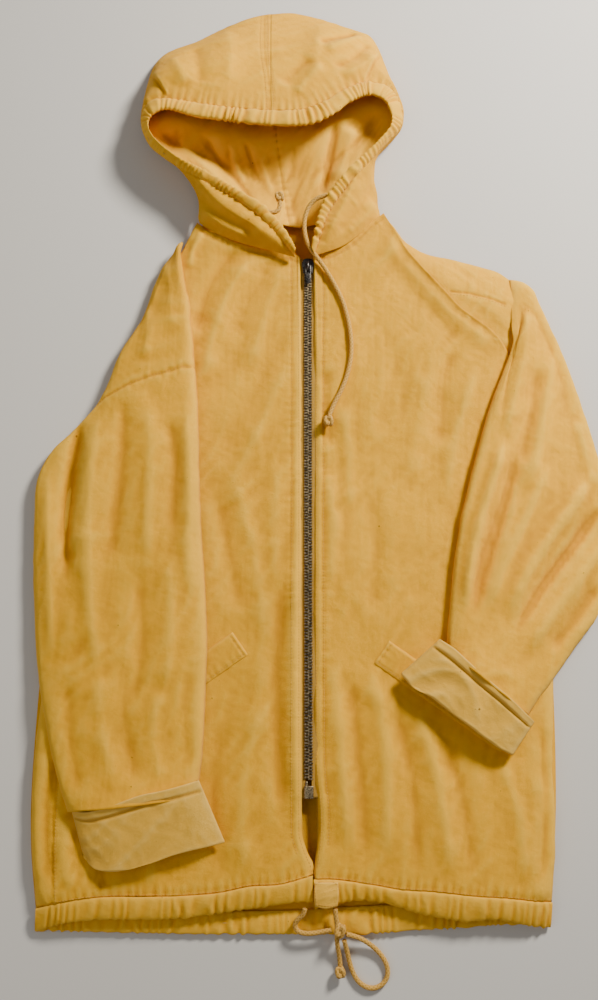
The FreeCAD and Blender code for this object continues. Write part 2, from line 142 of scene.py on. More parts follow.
def near_line(P, line):
    """Distance from every grid point to a plan line, and how far along it is, 0 to 1."""
    pts = np.array(line, float)[:, :2]
    seg = np.linalg.norm(np.diff(pts, axis=0), axis=1)
    start = np.r_[0, np.cumsum(seg)]
    best = np.full(P.shape[:-1], 1e9)
    where = np.zeros(P.shape[:-1])
    for i in range(len(pts) - 1):
        d = pts[i + 1] - pts[i]
        rel = P[..., :2] - pts[i]
        t = np.clip((rel @ d) / (d @ d), 0, 1)
        gap = np.linalg.norm(rel - t[..., None] * d, axis=-1)
        closer = gap < best
        best = np.where(closer, gap, best)
        where = np.where(closer, (start[i] + t * seg[i]) / start[-1], where)
    return best, where


def ridge(P, line, width, height, taper=0.2):
    """Height of one fold along a line, fading towards its two ends."""
    curve = resample(line, max(6, 3 * len(line)))
    gap, at = near_line(P, curve)
    ends = smooth_step(at / taper) * smooth_step((1 - at) / taper)
    return height * ends * np.exp(-(gap / width) ** 1.6)


def add_folds(P, folds):
    for line, width, height in folds:
        P[..., 2] += ridge(P, line, width, height)
    return P


def seam_relief(P, line, depth=0.7, width=1.6, pucker=0.5, pitch=9.0, reach=7.0, seed=3):
    """Groove of a stitched line, with the small puckers that its thread draws up."""
    gap, at = near_line(P, line)
    run = at * length_of(np.array(line)[:, :2])
    wave = (np.sin(TAU * run / pitch + 3.5 * noise(run / 21, run * 0, seed))
            * (0.35 + 0.9 * np.abs(noise(run / 34, run * 0 + 0.4, seed + 5))))
    P[..., 2] += -depth * np.exp(-(gap / width) ** 2) + pucker * wave * np.exp(-(gap / reach) ** 2)
    return P


def refine(P):
    """Twice as many cells each way, through a smooth four-point rule."""
    for axis in (0, 1):
        Q = np.moveaxis(P, axis, 0)
        padded = np.concatenate([2 * Q[:1] - Q[1:2], Q, 2 * Q[-1:] - Q[-2:-1]])
        mid = (9 * (Q[:-1] + Q[1:]) - padded[:-3] - padded[3:]) / 16
        out = np.empty((len(Q) * 2 - 1,) + Q.shape[1:])
        out[0::2], out[1::2] = Q, mid
        P = np.moveaxis(out, 0, axis)
    return P


def blurred(P, times):
    for _ in range(times):
        for axis in (0, 1):
            Q = np.moveaxis(P, axis, 0)
            ends = np.concatenate([Q[:1], Q, Q[-1:]])
            P = np.moveaxis((ends[:-2] + 2 * Q + ends[2:]) / 4, 0, axis)
    return P


def normals(P):
    du = np.gradient(P, axis=1)
    dv = np.gradient(P, axis=0)
    n = np.cross(du, dv)
    return n / (np.linalg.norm(n, axis=-1, keepdims=True) + 1e-9)


# ================================================================ meshes
def grid_faces(rows, cols, wrap=False):
    r = np.arange(rows - 1)[:, None]
    c = np.arange(cols if wrap else cols - 1)[None, :]
    nxt = (c + 1) % cols
    quad = np.stack([r * cols + c, r * cols + nxt, (r + 1) * cols + nxt, (r + 1) * cols + c], -1)
    return quad.reshape(-1, 4)


def mesh_object(name, verts, faces, material, smooth=True, attrs=None):
    """Mesh object from millimetre points, with point attributes for its material."""
    me = bpy.data.meshes.new(name)
    if isinstance(faces, np.ndarray):
        faces = faces.tolist()
    me.from_pydata((np.asarray(verts) * MM).tolist(), [], faces)
    me.polygons.foreach_set("use_smooth", [smooth] * len(me.polygons))
    for key, values in (attrs or {}).items():
        values = np.asarray(values, np.float32)
        kind = "FLOAT" if values.ndim == 1 else "FLOAT_VECTOR"
        layer = me.attributes.new(key, kind, "POINT")
        layer.data.foreach_set("value" if kind == "FLOAT" else "vector", values.ravel())
    obj = bpy.data.objects.new(name, me)
    bpy.context.collection.objects.link(obj)
    me.materials.append(material)
    me.update()
    return obj


def cloth_attrs(P, wear_and_shade_gain=1.0):
    """Wear and painted light on the folds, from -1 in hollows (painted shade) to 1 on ridges (paler: part
    wear, part painted highlight), and weave coordinates.
    """
    n = normals(P)
    fine = np.einsum("ijk,ijk->ij", P - blurred(P, 6), n)
    broad = np.einsum("ijk,ijk->ij", P - blurred(P, 60), n)
    # Relief against its blur: hollows get painted shade, ridges a paler colour that is part wear and part
    # painted highlight.
    wear = np.clip(fine / 0.25 * 0.30 + broad / 3.0 * 0.12, -0.8, 0.6) * wear_and_shade_gain
    du = np.linalg.norm(np.diff(P, axis=1, prepend=P[:, :1]), axis=-1).mean(0).cumsum()
    dv = np.linalg.norm(np.diff(P, axis=0, prepend=P[:1]), axis=-1).mean(1).cumsum()
    uv = np.stack([np.broadcast_to(du[None], wear.shape), np.broadcast_to(dv[:, None], wear.shape),
                   np.zeros_like(wear)], -1)
    return {"wear": wear.ravel(), "weave": uv.reshape(-1, 3)}


def cloth_object(name, P, material, thick=1.0, wrap=False, wear_and_shade_gain=1.0):
    """Sheet of cloth with real thickness below its outer face."""
    attrs = cloth_attrs(P, wear_and_shade_gain)
    rows, cols = P.shape[:2]
    obj = mesh_object(name, P.reshape(-1, 3), grid_faces(rows, cols, wrap), material, attrs=attrs)
    if thick:
        solid = obj.modifiers.new("thickness", "SOLIDIFY")
        solid.thickness = thick * MM
        solid.offset = -1
        solid.use_even_offset = False
    return obj


def surface(obj):
    """Ray target of a finished piece."""
    me = obj.data
    verts = [v.co.copy() for v in me.vertices]
    return BVHTree.FromPolygons(verts, [tuple(p.vertices) for p in me.polygons])


def height_on(targets, x, y, default=0.0):
    """Highest point of the given surfaces above a plan point, and its normal."""
    best, normal = default, Vector((0, 0, 1))
    for tree in targets:
        hit = tree.ray_cast(Vector((x * MM, y * MM, 0.3)), Vector((0, 0, -1)))
        if hit[0] is not None and hit[0].z / MM > best:
            best, normal = hit[0].z / MM, hit[1]
    return best, normal if normal.z > 0 else -normal


# ================================================================ cloth simulation
def settle(P, pinned, support, frames=18, growth=0.012, bend=4.0):
    """Lets a sheet with a little spare cloth buckle and rest on what is below it."""
    rows, cols = P.shape[:2]
    me = bpy.data.meshes.new("settling")
    me.from_pydata((P.reshape(-1, 3) * MM).tolist(), [], grid_faces(rows, cols).tolist())
    obj = bpy.data.objects.new("settling", me)
    bpy.context.collection.objects.link(obj)
    group = obj.vertex_groups.new(name="pin")
    for i, weight in enumerate(np.asarray(pinned, float).ravel()):
        if weight > 0:
            group.add([i], float(weight), "REPLACE")
    cloth = obj.modifiers.new("Cloth", "CLOTH")
    s = cloth.settings
    s.quality = 6
    s.mass = 0.25
    s.tension_stiffness = 20
    s.compression_stiffness = 20
    s.shear_stiffness = 8
    s.bending_stiffness = bend
    s.tension_damping = 10
    s.compression_damping = 10
    s.air_damping = 2
    s.vertex_group_mass = "pin"
    s.shrink_min = -growth
    cloth.collision_settings.distance_min = 0.0015
    cloth.collision_settings.use_self_collision = False
    cloth.point_cache.frame_end = frames
    ground = bpy.data.meshes.new("support")
    g_rows, g_cols = support.shape[:2]
    ground.from_pydata((support.reshape(-1, 3) * MM).tolist(), [],
                       grid_faces(g_rows, g_cols).tolist())
    below = bpy.data.objects.new("support", ground)
    bpy.context.collection.objects.link(below)
    below.modifiers.new("Collision", "COLLISION")
    below.collision.thickness_outer = 0.001
    for f in range(1, frames + 1):
        bpy.context.scene.frame_set(f)
    evaluated = obj.evaluated_get(bpy.context.evaluated_depsgraph_get())
    out = np.empty(rows * cols * 3, np.float32)
    evaluated.data.vertices.foreach_get("co", out)
    bpy.data.objects.remove(obj)
    bpy.data.objects.remove(below)
    bpy.context.scene.frame_set(1)
    shift = out.reshape(P.shape) / MM - P
    broad = blurred(shift, 24)
    shift = broad + 0.22 * (blurred(shift, 3) - broad)
    size = np.linalg.norm(shift, axis=-1, keepdims=True)
    free = 1 - np.asarray(pinned, float)[..., None]
    return P + shift * np.minimum(1, 10.0 / (size + 1e-6)) * blurred(free, 2) * free


def border_pins(P, south=1, north=1, west=1, east=1):
    """Mask that holds the given number of rows and columns along each edge."""
    pins = np.zeros(P.shape[:2])
    if south:
        pins[:south] = 1
    if north:
        pins[-north:] = 1
    if west:
        pins[:, :west] = 1
    if east:
        pins[:, -east:] = 1
    return pins


# ================================================================ materials
def principled(name):
    mat = bpy.data.materials.new(name)
    mat.use_nodes = True
    nodes, links = mat.node_tree.nodes, mat.node_tree.links
    return mat, nodes, links, nodes["Principled BSDF"]


def node(nodes, kind, **values):
    n = nodes.new(kind)
    for key, value in values.items():
        if hasattr(n, key):
            setattr(n, key, value)
        else:
            n.inputs[key.replace("_", " ")].default_value = value
    return n


def cloth_material(name, base, pale, deep, twill=True, weave_mm=0.9):
    """Garment-dyed cotton: mottled colour, paler ridges (part wear, part painted highlight), painted shade
    in the hollows, woven bump.
    """
    mat, nodes, links, bsdf = principled(name)
    coords = nodes.new("ShaderNodeTexCoord")
    wear = node(nodes, "ShaderNodeAttribute", attribute_name="wear")
    weave = node(nodes, "ShaderNodeAttribute", attribute_name="weave")
    broad = node(nodes, "ShaderNodeTexNoise", Scale=7.0, Detail=4.0, Roughness=0.6)
    mottle = node(nodes, "ShaderNodeTexNoise", Scale=60.0, Detail=8.0, Roughness=0.72)
    links.new(coords.outputs["Object"], broad.inputs["Vector"])
    links.new(coords.outputs["Object"], mottle.inputs["Vector"])
    both = node(nodes, "ShaderNodeMath", operation="MULTIPLY_ADD")
    links.new(mottle.outputs["Fac"], both.inputs[0])
    both.inputs[1].default_value = 0.55
    links.new(broad.outputs["Fac"], both.inputs[2])
    tone = node(nodes, "ShaderNodeValToRGB")
    ramp = tone.color_ramp
    ramp.elements[0].position, ramp.elements[0].color = 0.50, tuple(c * 0.84 for c in base) + (1,)
    ramp.elements[1].position, ramp.elements[1].color = 1.05, tuple(min(1, c * 1.10) for c in base) + (1,)
    links.new(both.outputs[0], tone.inputs["Fac"])
    # Ridges are mixed towards the pale colour, part wear and part painted highlight; hollows towards the
    # deep colour, which is painted shade.
    up = node(nodes, "ShaderNodeMath", operation="MULTIPLY", use_clamp=True)
    up.inputs[1].default_value = 0.75
    links.new(wear.outputs["Fac"], up.inputs[0])
    down = node(nodes, "ShaderNodeMath", operation="MULTIPLY", use_clamp=True)
    down.inputs[1].default_value = -0.8
    links.new(wear.outputs["Fac"], down.inputs[0])
    paler_wear_and_highlight = node(nodes, "ShaderNodeMix", data_type="RGBA")
    links.new(up.outputs[0], paler_wear_and_highlight.inputs["Factor"])
    links.new(tone.outputs["Color"], paler_wear_and_highlight.inputs[6])
    paler_wear_and_highlight.inputs[7].default_value = tuple(pale) + (1,)
    painted_hollow_shade = node(nodes, "ShaderNodeMix", data_type="RGBA")
    links.new(down.outputs[0], painted_hollow_shade.inputs["Factor"])
    links.new(paler_wear_and_highlight.outputs[2], painted_hollow_shade.inputs[6])
    painted_hollow_shade.inputs[7].default_value = tuple(deep) + (1,)
    specks = node(nodes, "ShaderNodeTexNoise", Scale=160.0, Detail=1.0)
    links.new(coords.outputs["Object"], specks.inputs["Vector"])
    spot = node(nodes, "ShaderNodeMapRange", From_Min=0.80, From_Max=0.84)
    links.new(specks.outputs["Fac"], spot.inputs["Value"])
    spotted = node(nodes, "ShaderNodeMix", data_type="RGBA")
    links.new(spot.outputs["Result"], spotted.inputs["Factor"])
    links.new(painted_hollow_shade.outputs[2], spotted.inputs[6])
    spotted.inputs[7].default_value = tuple(c * 0.45 for c in deep) + (1,)
    links.new(spotted.outputs[2], bsdf.inputs["Base Color"])
    bsdf.inputs["Roughness"].default_value = 0.88
    bsdf.inputs["Sheen Weight"].default_value = 0.06
    bsdf.inputs["Sheen Roughness"].default_value = 0.5
    bsdf.inputs["Specular IOR Level"].default_value = 0.12
    waves = node(nodes, "ShaderNodeTexWave", Scale=TAU / weave_mm / 10.0, Distortion=0.6)
    waves.bands_direction = "DIAGONAL" if twill else "X"
    waves.inputs["Detail"].default_value = 1.0
    links.new(weave.outputs["Vector"], waves.inputs["Vector"])
    fibre = node(nodes, "ShaderNodeTexNoise", Scale=1.6, Detail=3.0)
    links.new(weave.outputs["Vector"], fibre.inputs["Vector"])
    relief = node(nodes, "ShaderNodeMath", operation="MULTIPLY_ADD")
    links.new(waves.outputs["Fac"], relief.inputs[0])
    relief.inputs[1].default_value = 0.5
    links.new(fibre.outputs["Fac"], relief.inputs[2])
    bump = node(nodes, "ShaderNodeBump", Strength=0.7, Distance=0.0004)
    links.new(relief.outputs[0], bump.inputs["Height"])
    crumple = node(nodes, "ShaderNodeTexNoise", Scale=80.0, Detail=6.0, Roughness=0.62)
    links.new(coords.outputs["Object"], crumple.inputs["Vector"])
    soft = node(nodes, "ShaderNodeBump", Strength=0.5, Distance=0.0022)
    links.new(crumple.outputs["Fac"], soft.inputs["Height"])
    links.new(bump.outputs["Normal"], soft.inputs["Normal"])
    links.new(soft.outputs["Normal"], bsdf.inputs["Normal"])
    return mat


def metal_material(name, dark, bright, roughness):
    """Aged metal: dark in its pits, brighter where it is rubbed."""
    mat, nodes, links, bsdf = principled(name)
    coords = nodes.new("ShaderNodeTexCoord")
    patches = node(nodes, "ShaderNodeTexNoise", Scale=600.0, Detail=4.0)
    links.new(coords.outputs["Object"], patches.inputs["Vector"])
    tone = nodes.new("ShaderNodeValToRGB")
    tone.color_ramp.elements[0].position, tone.color_ramp.elements[0].color = 0.35, tuple(dark) + (1,)
    tone.color_ramp.elements[1].position, tone.color_ramp.elements[1].color = 0.68, tuple(bright) + (1,)
    links.new(patches.outputs["Fac"], tone.inputs["Fac"])
    links.new(tone.outputs["Color"], bsdf.inputs["Base Color"])
    bsdf.inputs["Metallic"].default_value = 1.0
    rough = node(nodes, "ShaderNodeMapRange", To_Min=roughness - 0.1, To_Max=roughness + 0.15)
    links.new(patches.outputs["Fac"], rough.inputs["Value"])
    links.new(rough.outputs["Result"], bsdf.inputs["Roughness"])
    bump = node(nodes, "ShaderNodeBump", Strength=0.25, Distance=0.0002)
    links.new(patches.outputs["Fac"], bump.inputs["Height"])
    links.new(bump.outputs["Normal"], bsdf.inputs["Normal"])
    return mat


# Each cloth colour set: base dye, a pale colour for ridges (part wear, part painted highlight) and a deep
# colour for hollows (painted shade).
OCHRE = (0.830, 0.405, 0.010)
PALE_WEAR_HIGHLIGHT = (0.900, 0.550, 0.055)
DEEP_HOLLOW_SHADE = (0.540, 0.215, 0.003)
CANVAS = cloth_material("ochre_twill", OCHRE, PALE_WEAR_HIGHLIGHT, DEEP_HOLLOW_SHADE)
INSIDE = cloth_material("ochre_twill_inside", (0.800, 0.440, 0.045), (0.88, 0.60, 0.15),
                        (0.54, 0.27, 0.04))
# Brighter copy of the same twill for the inside of the hood: painted light in place of the light that
# reaches in, with darker painted shade in its hollows.
HOOD_INSIDE_PAINTED_LIGHT = cloth_material("ochre_twill_hood_inside", (0.900, 0.460, 0.020), (0.92, 0.56, 0.06),
                             (0.44, 0.17, 0.003))
LINING = cloth_material("ochre_cotton", (0.60, 0.30, 0.035), (0.72, 0.44, 0.11), (0.40, 0.17, 0.01),
                        False)
CORD = cloth_material("cotton_cord", (0.640, 0.350, 0.062), (0.78, 0.52, 0.17), (0.36, 0.17, 0.02),
                      False)
THREAD = cloth_material("thread", (0.660, 0.350, 0.050), (0.78, 0.52, 0.14), (0.45, 0.22, 0.03),
                        False)
TAPE = cloth_material("zip_tape", (0.50, 0.27, 0.04), (0.62, 0.40, 0.12), (0.28, 0.13, 0.01), False)
BRASS = metal_material("aged_brass", (0.10, 0.075, 0.045), (0.58, 0.46, 0.28), 0.40)
BLACK = metal_material("blackened_metal", (0.012, 0.012, 0.013), (0.16, 0.15, 0.14), 0.38)


# ================================================================ camera
def make_camera():
    """Camera above the jacket, tilted a little towards the hood."""
    data = bpy.data.cameras.new("camera")
    data.lens = 36.0
    data.sensor_width = 36.0
    data.sensor_fit = "AUTO"
    cam = bpy.data.objects.new("camera", data)
    bpy.context.collection.objects.link(cam)
    cam.location = (-0.025, -0.258, 1.090)
    cam.rotation_euler = (math.radians(9.76), 0, 0)
    bpy.context.scene.camera = cam


make_camera()


# ================================================================ free cords
def cord_spline(route):
    """Smooth NURBS line along a given route, read back as points in millimetres."""
    data = bpy.data.curves.new("route", "CURVE")
    data.dimensions = "3D"
    spline = data.splines.new("NURBS")
    spline.points.add(len(route) - 1)
    for point, place in zip(spline.points, route):
        point.co = tuple(c * MM for c in place) + (1.0,)
    spline.order_u = 3
    spline.use_endpoint_u = True
    spline.resolution_u = 12
    obj = bpy.data.objects.new("route", data)
    bpy.context.collection.objects.link(obj)
    depsgraph = bpy.context.evaluated_depsgraph_get()
    me = bpy.data.meshes.new_from_object(obj.evaluated_get(depsgraph))
    line = np.array([v.co[:] for v in me.vertices]) / MM
    bpy.data.objects.remove(obj)
    bpy.data.meshes.remove(me)
    return line


def frames_along(line):
    """Tangent and two side directions that turn as little as possible."""
    tangent = np.gradient(line, axis=0)
    tangent /= np.linalg.norm(tangent, axis=1, keepdims=True) + 1e-9
    side = np.cross(tangent[0], [0, 0, 1])
    if np.linalg.norm(side) < 0.1:
        side = np.cross(tangent[0], [1, 0, 0])
    sides = []
    for t in tangent:
        side = side - t * (side @ t)
        side /= np.linalg.norm(side)
        sides.append(side)
    sides = np.array(sides)
    return tangent, sides, np.cross(tangent, sides)


def braided_tube(name, line, radius, material, step=0.7, around=20, strands=4, pitch=9.0):
    """Braided cotton cord: two families of strands that cross over a round core."""
    run = length_of(line)
    line = even(line, max(8, int(run / step)))
    s = np.linspace(0, run, len(line))[:, None]
    _, side, up = frames_along(line)
    a = np.linspace(0, TAU, around, endpoint=False)[None, :]
    left = np.cos(strands * (a + TAU * s / (pitch * strands) * 2))
    right = np.cos(strands * (a - TAU * s / (pitch * strands) * 2))
    braid = np.maximum(left, right)
    r = radius * (0.93 + 0.085 * braid)
    P = (line[:, None] + (r * np.cos(a))[..., None] * side[:, None]
         + (r * np.sin(a))[..., None] * up[:, None])
    weave = np.stack([np.broadcast_to(a * radius, r.shape), np.broadcast_to(s, r.shape), 0 * r], -1)
    # Strand tops are paler, part wear and part painted highlight; the gaps between strands get painted
    # shade.
    attrs = {"wear": (braid.ravel() - 0.35) * 0.9, "weave": weave.reshape(-1, 3)}
    faces = grid_faces(len(line), around, True).tolist()
    faces.append(list(range(around))[::-1])
    faces.append([(len(line) - 1) * around + k for k in range(around)])
    return mesh_object(name, P.reshape(-1, 3), faces, material, attrs=attrs)


def overhand_knot(name, centre, size, length, along, material):
    """Pulled-tight overhand knot: a cord wound round itself."""
    t = np.linspace(0, TAU, 120, endpoint=False)
    x = np.sin(t) + 2 * np.sin(2 * t)
    y = np.cos(t) - 2 * np.cos(2 * t)
    z = -np.sin(3 * t)
    k = np.stack([x / 3 * size, z * length * 0.30, y / 3 * size], 1)
    k = np.vstack([k, k[:1]])
    axis = Vector(along).normalized()
    turn = Vector((0, 1, 0)).rotation_difference(axis).to_matrix()
    k = np.array([turn @ Vector(p) for p in k]) + np.array(centre)
    return braided_tube(name, k, 2.55, material, step=0.8)


CORD_D = 5.0
HOOD_LONG = [(7, 272, 37), (-4, 270, 36), (-14, 261, 33), (-19, 247, 31), (-19, 230, 30),
             (-14, 214, 28), (-3, 201, 24.5), (7, 187, 21.6), (17, 169, 20.8), (26, 148, 21),
             (32, 121, 20.8), (34, 95, 21), (30, 71, 20.8), (22, 49, 21), (13, 33, 21.4),
             (8, 19, 23)]
HOOD_SHORT = [(-70, 262, 29), (-61, 255, 30), (-52, 254, 30), (-46, 260, 30),
              (-47, 268, 30.5)]
HEM_RIGHT = [(-19, -495, 17.1), (-20, -501, 16), (-26, -506, 14), (-30, -512, 12),
             (-27, -518.5, 11.1), (-18, -521, 11), (-6, -520, 11), (8, -517, 11.6)]
HEM_LEFT = [(12, -495.5, 17.1), (12, -501, 16.5), (13.5, -509, 14.5), (14, -517, 13.5),
            (13.5, -526, 11.8), (14.5, -535, 8), (16.5, -544, 4.4), (17, -554, 3)]
HEM_LOOP = [(23, -521, 12.5), (33, -523, 11.5), (45, -530, 7), (57, -540, 3.2),
            (65, -552, 2.8), (66, -564, 2.8), (59, -573, 2.8), (48, -576, 2.8),
            (37, -571, 2.8), (30, -561, 2.8), (26, -548, 3.4), (23.5, -537, 7),
            (21, -527, 11.5)]


def make_cord(name, route):
    """Free cord on the torso."""
    line = cord_spline(route)
    obj = braided_tube(name + "_braid", line, CORD_D / 2, CORD)
    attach(obj, "torso")
    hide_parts(name)
    return obj


def make_knot(name, centre, size, length, along):
    obj = overhand_knot(name + "_wound", centre, size, length, along, CORD)
    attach(obj, "torso")
    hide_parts(name)
    return obj


KNOT_LONG = make_knot("hood_knot_long", (7.2, 13.2, 24), 3.5, 12, (0.1, 1, 0))
KNOT_SHORT = make_knot("hood_knot_short", (-47.2, 273, 31.5), 3.2, 10, (0, 1, 0.1))
KNOT_TIE = make_knot("hem_tie_knot", (16.5, -517, 14.6), 3.7, 15, (0.5, 1, 0))
KNOT_END = make_knot("hem_end_knot", (17, -559, 6.7), 3.3, 11, (0, 1, 0))
make_cord("hood_cord_long", HOOD_LONG)
make_cord("hood_cord_short", HOOD_SHORT)
make_cord("hem_cord_right", HEM_RIGHT)
make_cord("hem_cord_left", HEM_LEFT)
make_cord("hem_cord_loop", HEM_LOOP)


# ================================================================ levels of the laid jacket
BODY_LEFT_EDGE = [(-295, -521), (-303, -440), (-303, -340), (-299, -287), (-292, -150),
                  (-262, 10), (-232, 59), (-190, 150), (-160, 215), (-142, 251)]
BODY_RIGHT_EDGE = [(235, -517), (240, -440), (241, -340), (246, -258), (243, -100),
                   (226, 20), (214, 98), (212, 176)]


def body_level(P, inside=18.0, outside=1.5):
    """Height that a sleeve rests on: the body, or the floor beside it."""
    y = P[..., 1]
    left = np.interp(y, [p[1] for p in BODY_LEFT_EDGE], [p[0] for p in BODY_LEFT_EDGE])
    right = np.interp(y, [p[1] for p in BODY_RIGHT_EDGE], [p[0] for p in BODY_RIGHT_EDGE])
    gap = np.minimum(P[..., 0] - left, right - P[..., 0])
    return outside + (inside - outside) * smooth_step(gap / 34 + 0.25)


def plan_support(x0, x1, y0, y1, level):
    """Coarse rest surface under a sheet."""
    x, y = np.meshgrid(np.arange(x0, x1, 15.0), np.arange(y0, y1, 15.0))
    P = np.stack([x, y, np.zeros_like(x)], -1)
    P[..., 2] = level(P)
    return P


def ride_as(obj, body, slot, *replaced):
    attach(obj, body)
    if replaced:
        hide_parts(*replaced)
    return obj


# ================================================================ seam lines
HEM_STITCH_R = [(-295, -497, 8), (-269, -490, 14), (-243, -486, 16), (-218, -484, 17),
                (-187, -484, 17), (-146, -483, 17), (-106, -480, 17), (-75, -474, 17),
                (-44, -472, 17), (-24, -467, 17), (-11, -463, 17)]
HEM_LOW_R = [(-295, -521, 4), (-269, -512, 11), (-228, -507, 13), (-187, -507, 13),
             (-136, -505, 13), (-95, -499, 13), (-55, -494, 13), (-24, -490, 13),
             (-11, -490, 13)]
HEM_STITCH_L = [(-10, -467, 17), (7, -467, 17), (27, -469, 17), (48, -472, 17), (78, -477, 17),
                (109, -479, 17), (159, -484, 17), (190, -486, 16), (216, -489, 14), (235, -491, 8)]
HEM_LOW_L = [(-9, -497, 13), (12, -493, 13), (22, -490, 13), (58, -490, 13), (78, -495, 13),
             (90, -499, 13), (119, -505, 13), (149, -509, 13), (169, -507, 13), (190, -509, 12),
             (211, -514, 9), (233, -517, 4)]
HEM_BACK_LOW = [(-296, -520, 3), (-270, -520, 4), (-229, -521, 4), (-178, -522, 4), (-126, -523, 4),
                (-75, -523, 4), (-24, -523, 4), (17, -523, 4), (58, -522, 4), (99, -519, 4),
                (140, -517, 4), (181, -514, 4), (233, -515, 3)]
HEM_BACK_STITCH = [(-296, -496, 3), (-229, -499, 4), (-132, -500, 4), (-75, -500, 4), (-24, -499, 4),
                   (27, -496, 4), (79, -494, 4), (140, -493, 4), (233, -492, 3)]
NECK_R = [(-142, 251, 12), (-132, 241, 16), (-115, 233, 20), (-98, 226, 22), (-80, 220, 23),
          (-63, 216, 24), (-46, 213, 25), (-32, 210, 26), (-23, 206, 25)]
NECK_L = [(-9, 206, 25), (-1, 210, 26), (10, 213, 25), (21, 218, 24), (35, 227, 22), (45, 236, 19),
          (56, 248, 14), (70, 260, 8)]
FRONT_EDGE_R = [(-11, -463, 17), (-10, -454, 18), (-16, -441, 19), (-21, -427, 19), (-22, -405, 19),
                (-22, -388, 19), (-22, -300, 19), (-22, -150, 19), (-22, 0, 19), (-22.5, 150, 20),
                (-23, 206, 25)]
FRONT_EDGE_L = [(-10, -467, 17), (-9, -454, 18), (-6, -432, 19), (-5, -405, 19), (-6, -388, 19),
                (-9, -360, 19), (-9.5, -300, 19), (-9.5, -150, 19), (-9, 0, 19), (-8.5, 150, 20),
                (-9, 206, 25)]


# ================================================================ back panel and hems
def back_cloth():
    south = [(-296, -503, 1.5), (-30, -507, 1.5), (235, -501, 1.5)]
    west = [(-296, -503, 1.5), (-304, -440, 3), (-304, -300, 3), (-292, -150, 3), (-262, 10, 3),
            (-232, 59, 3), (-190, 150, 3), (-160, 215, 3), (-142, 249, 3)]
    east = [(235, -501, 1.5), (243, -420, 3), (247, -258, 3), (243, -100, 3), (226, 20, 3),
            (214, 98, 3), (213, 176, 4), (180, 200, 3), (147, 207, 3), (112, 218, 3),
            (92, 238, 3), (72, 259, 4)]
    north = [(-142, 249, 3), (-115, 262, 2), (-35, 266, 1.5), (45, 264, 2), (72, 259, 4)]
    P = coons(south, north, west, east, 110, 150)
    P[..., 2] = 1.3 + 0.55 * (creases(P, 160, 55, 75, 41) + 0.6) * 1.2
    P[..., 2] = np.clip(P[..., 2], 1.05, 3.2)
    obj = cloth_object("back_cloth", P, CANVAS)
    ride_as(obj, "torso", "canvas", "back_panel")
    return obj


def gathered_band(name, stitch, low, thick, seed, pitch=11.0):
    """Hem casing: a folded band drawn up into gathers by the cord inside it."""
    span = length_of(np.array(stitch, float))
    n = int(span / 1.6)
    top = resample(stitch, n)
    bottom = resample(low, n)
    run = np.linspace(0, span, n)
    around = 26
    a = np.linspace(0, TAU, around, endpoint=False)
    across = (0.5 - 0.5 * np.cos(a))[None, :]
    round_side = np.sin(a)[None, :]
    phase = run[:, None] / pitch + 1.6 * noise(run / 33, run * 0 + 0.3, seed)[:, None]
    strong = 0.25 + 1.1 * np.abs(noise(run / 45, run * 0 + 0.8, seed + 2))[:, None]
    ripple = strong * np.sin(TAU * phase + 1.6 * noise(run[:, None] / 20, across * 1.5, seed + 1))
    second = strong * np.sin(TAU * phase * 1.7 + 1.3 + 2.0 * across)
    fat = thick * (0.84 + 0.26 * ripple + 0.12 * second)
    lift = np.where(round_side > 0, np.abs(round_side) ** 0.75 * fat,
                    -np.abs(round_side) ** 0.75 * thick * 0.42)
    P = lerp(top[:, None], bottom[:, None], across[..., None])
    P[..., 2] += lift
    P[..., 1] += 1.1 * (ripple + 0.4 * second) * across * -1
    P[..., 2] = np.maximum(P[..., 2], 0.4)
    obj = cloth_object(name, P, CANVAS, thick=0, wrap=True)
    return obj, P


def casing_cord(name, stitch, low, inset, body):
    """The drawcord as it runs inside a hem casing."""
    mid = lerp(resample(stitch, 60), resample(low, 60), 0.5)[inset:-inset]
    obj = braided_tube(name, mid, CORD_D / 2 * 0.9, CORD, step=4.0, around=8)
    return ride_as(obj, body, "cord")


# ================================================================ front panels
def rolled_edge(P, column, drop=3.2):
    """Turns a panel's border cells under, as its folded hem does."""
    P[:, column, 2] -= drop
    return P


def finish_panel(P, seams):
    """Refines a settled panel and draws in its stitched seams and small wrinkles."""
    P = refine(P)
    for line, depth, pucker in seams:
        seam_relief(P, line, depth=depth, pucker=pucker)
    n = normals(P)
    small = (0.55 * creases(P, 46, 17, 62, 11) + 0.26 * creases(P, 19, 8, -35, 12)
             + 0.22 * creases(P, 60, 6, 88, 13))
    P = P + n * small[..., None]
    return P


SIDE_SEAM_R = [(-273, -300), (-277, -360), (-278, -420), (-276, -492)]


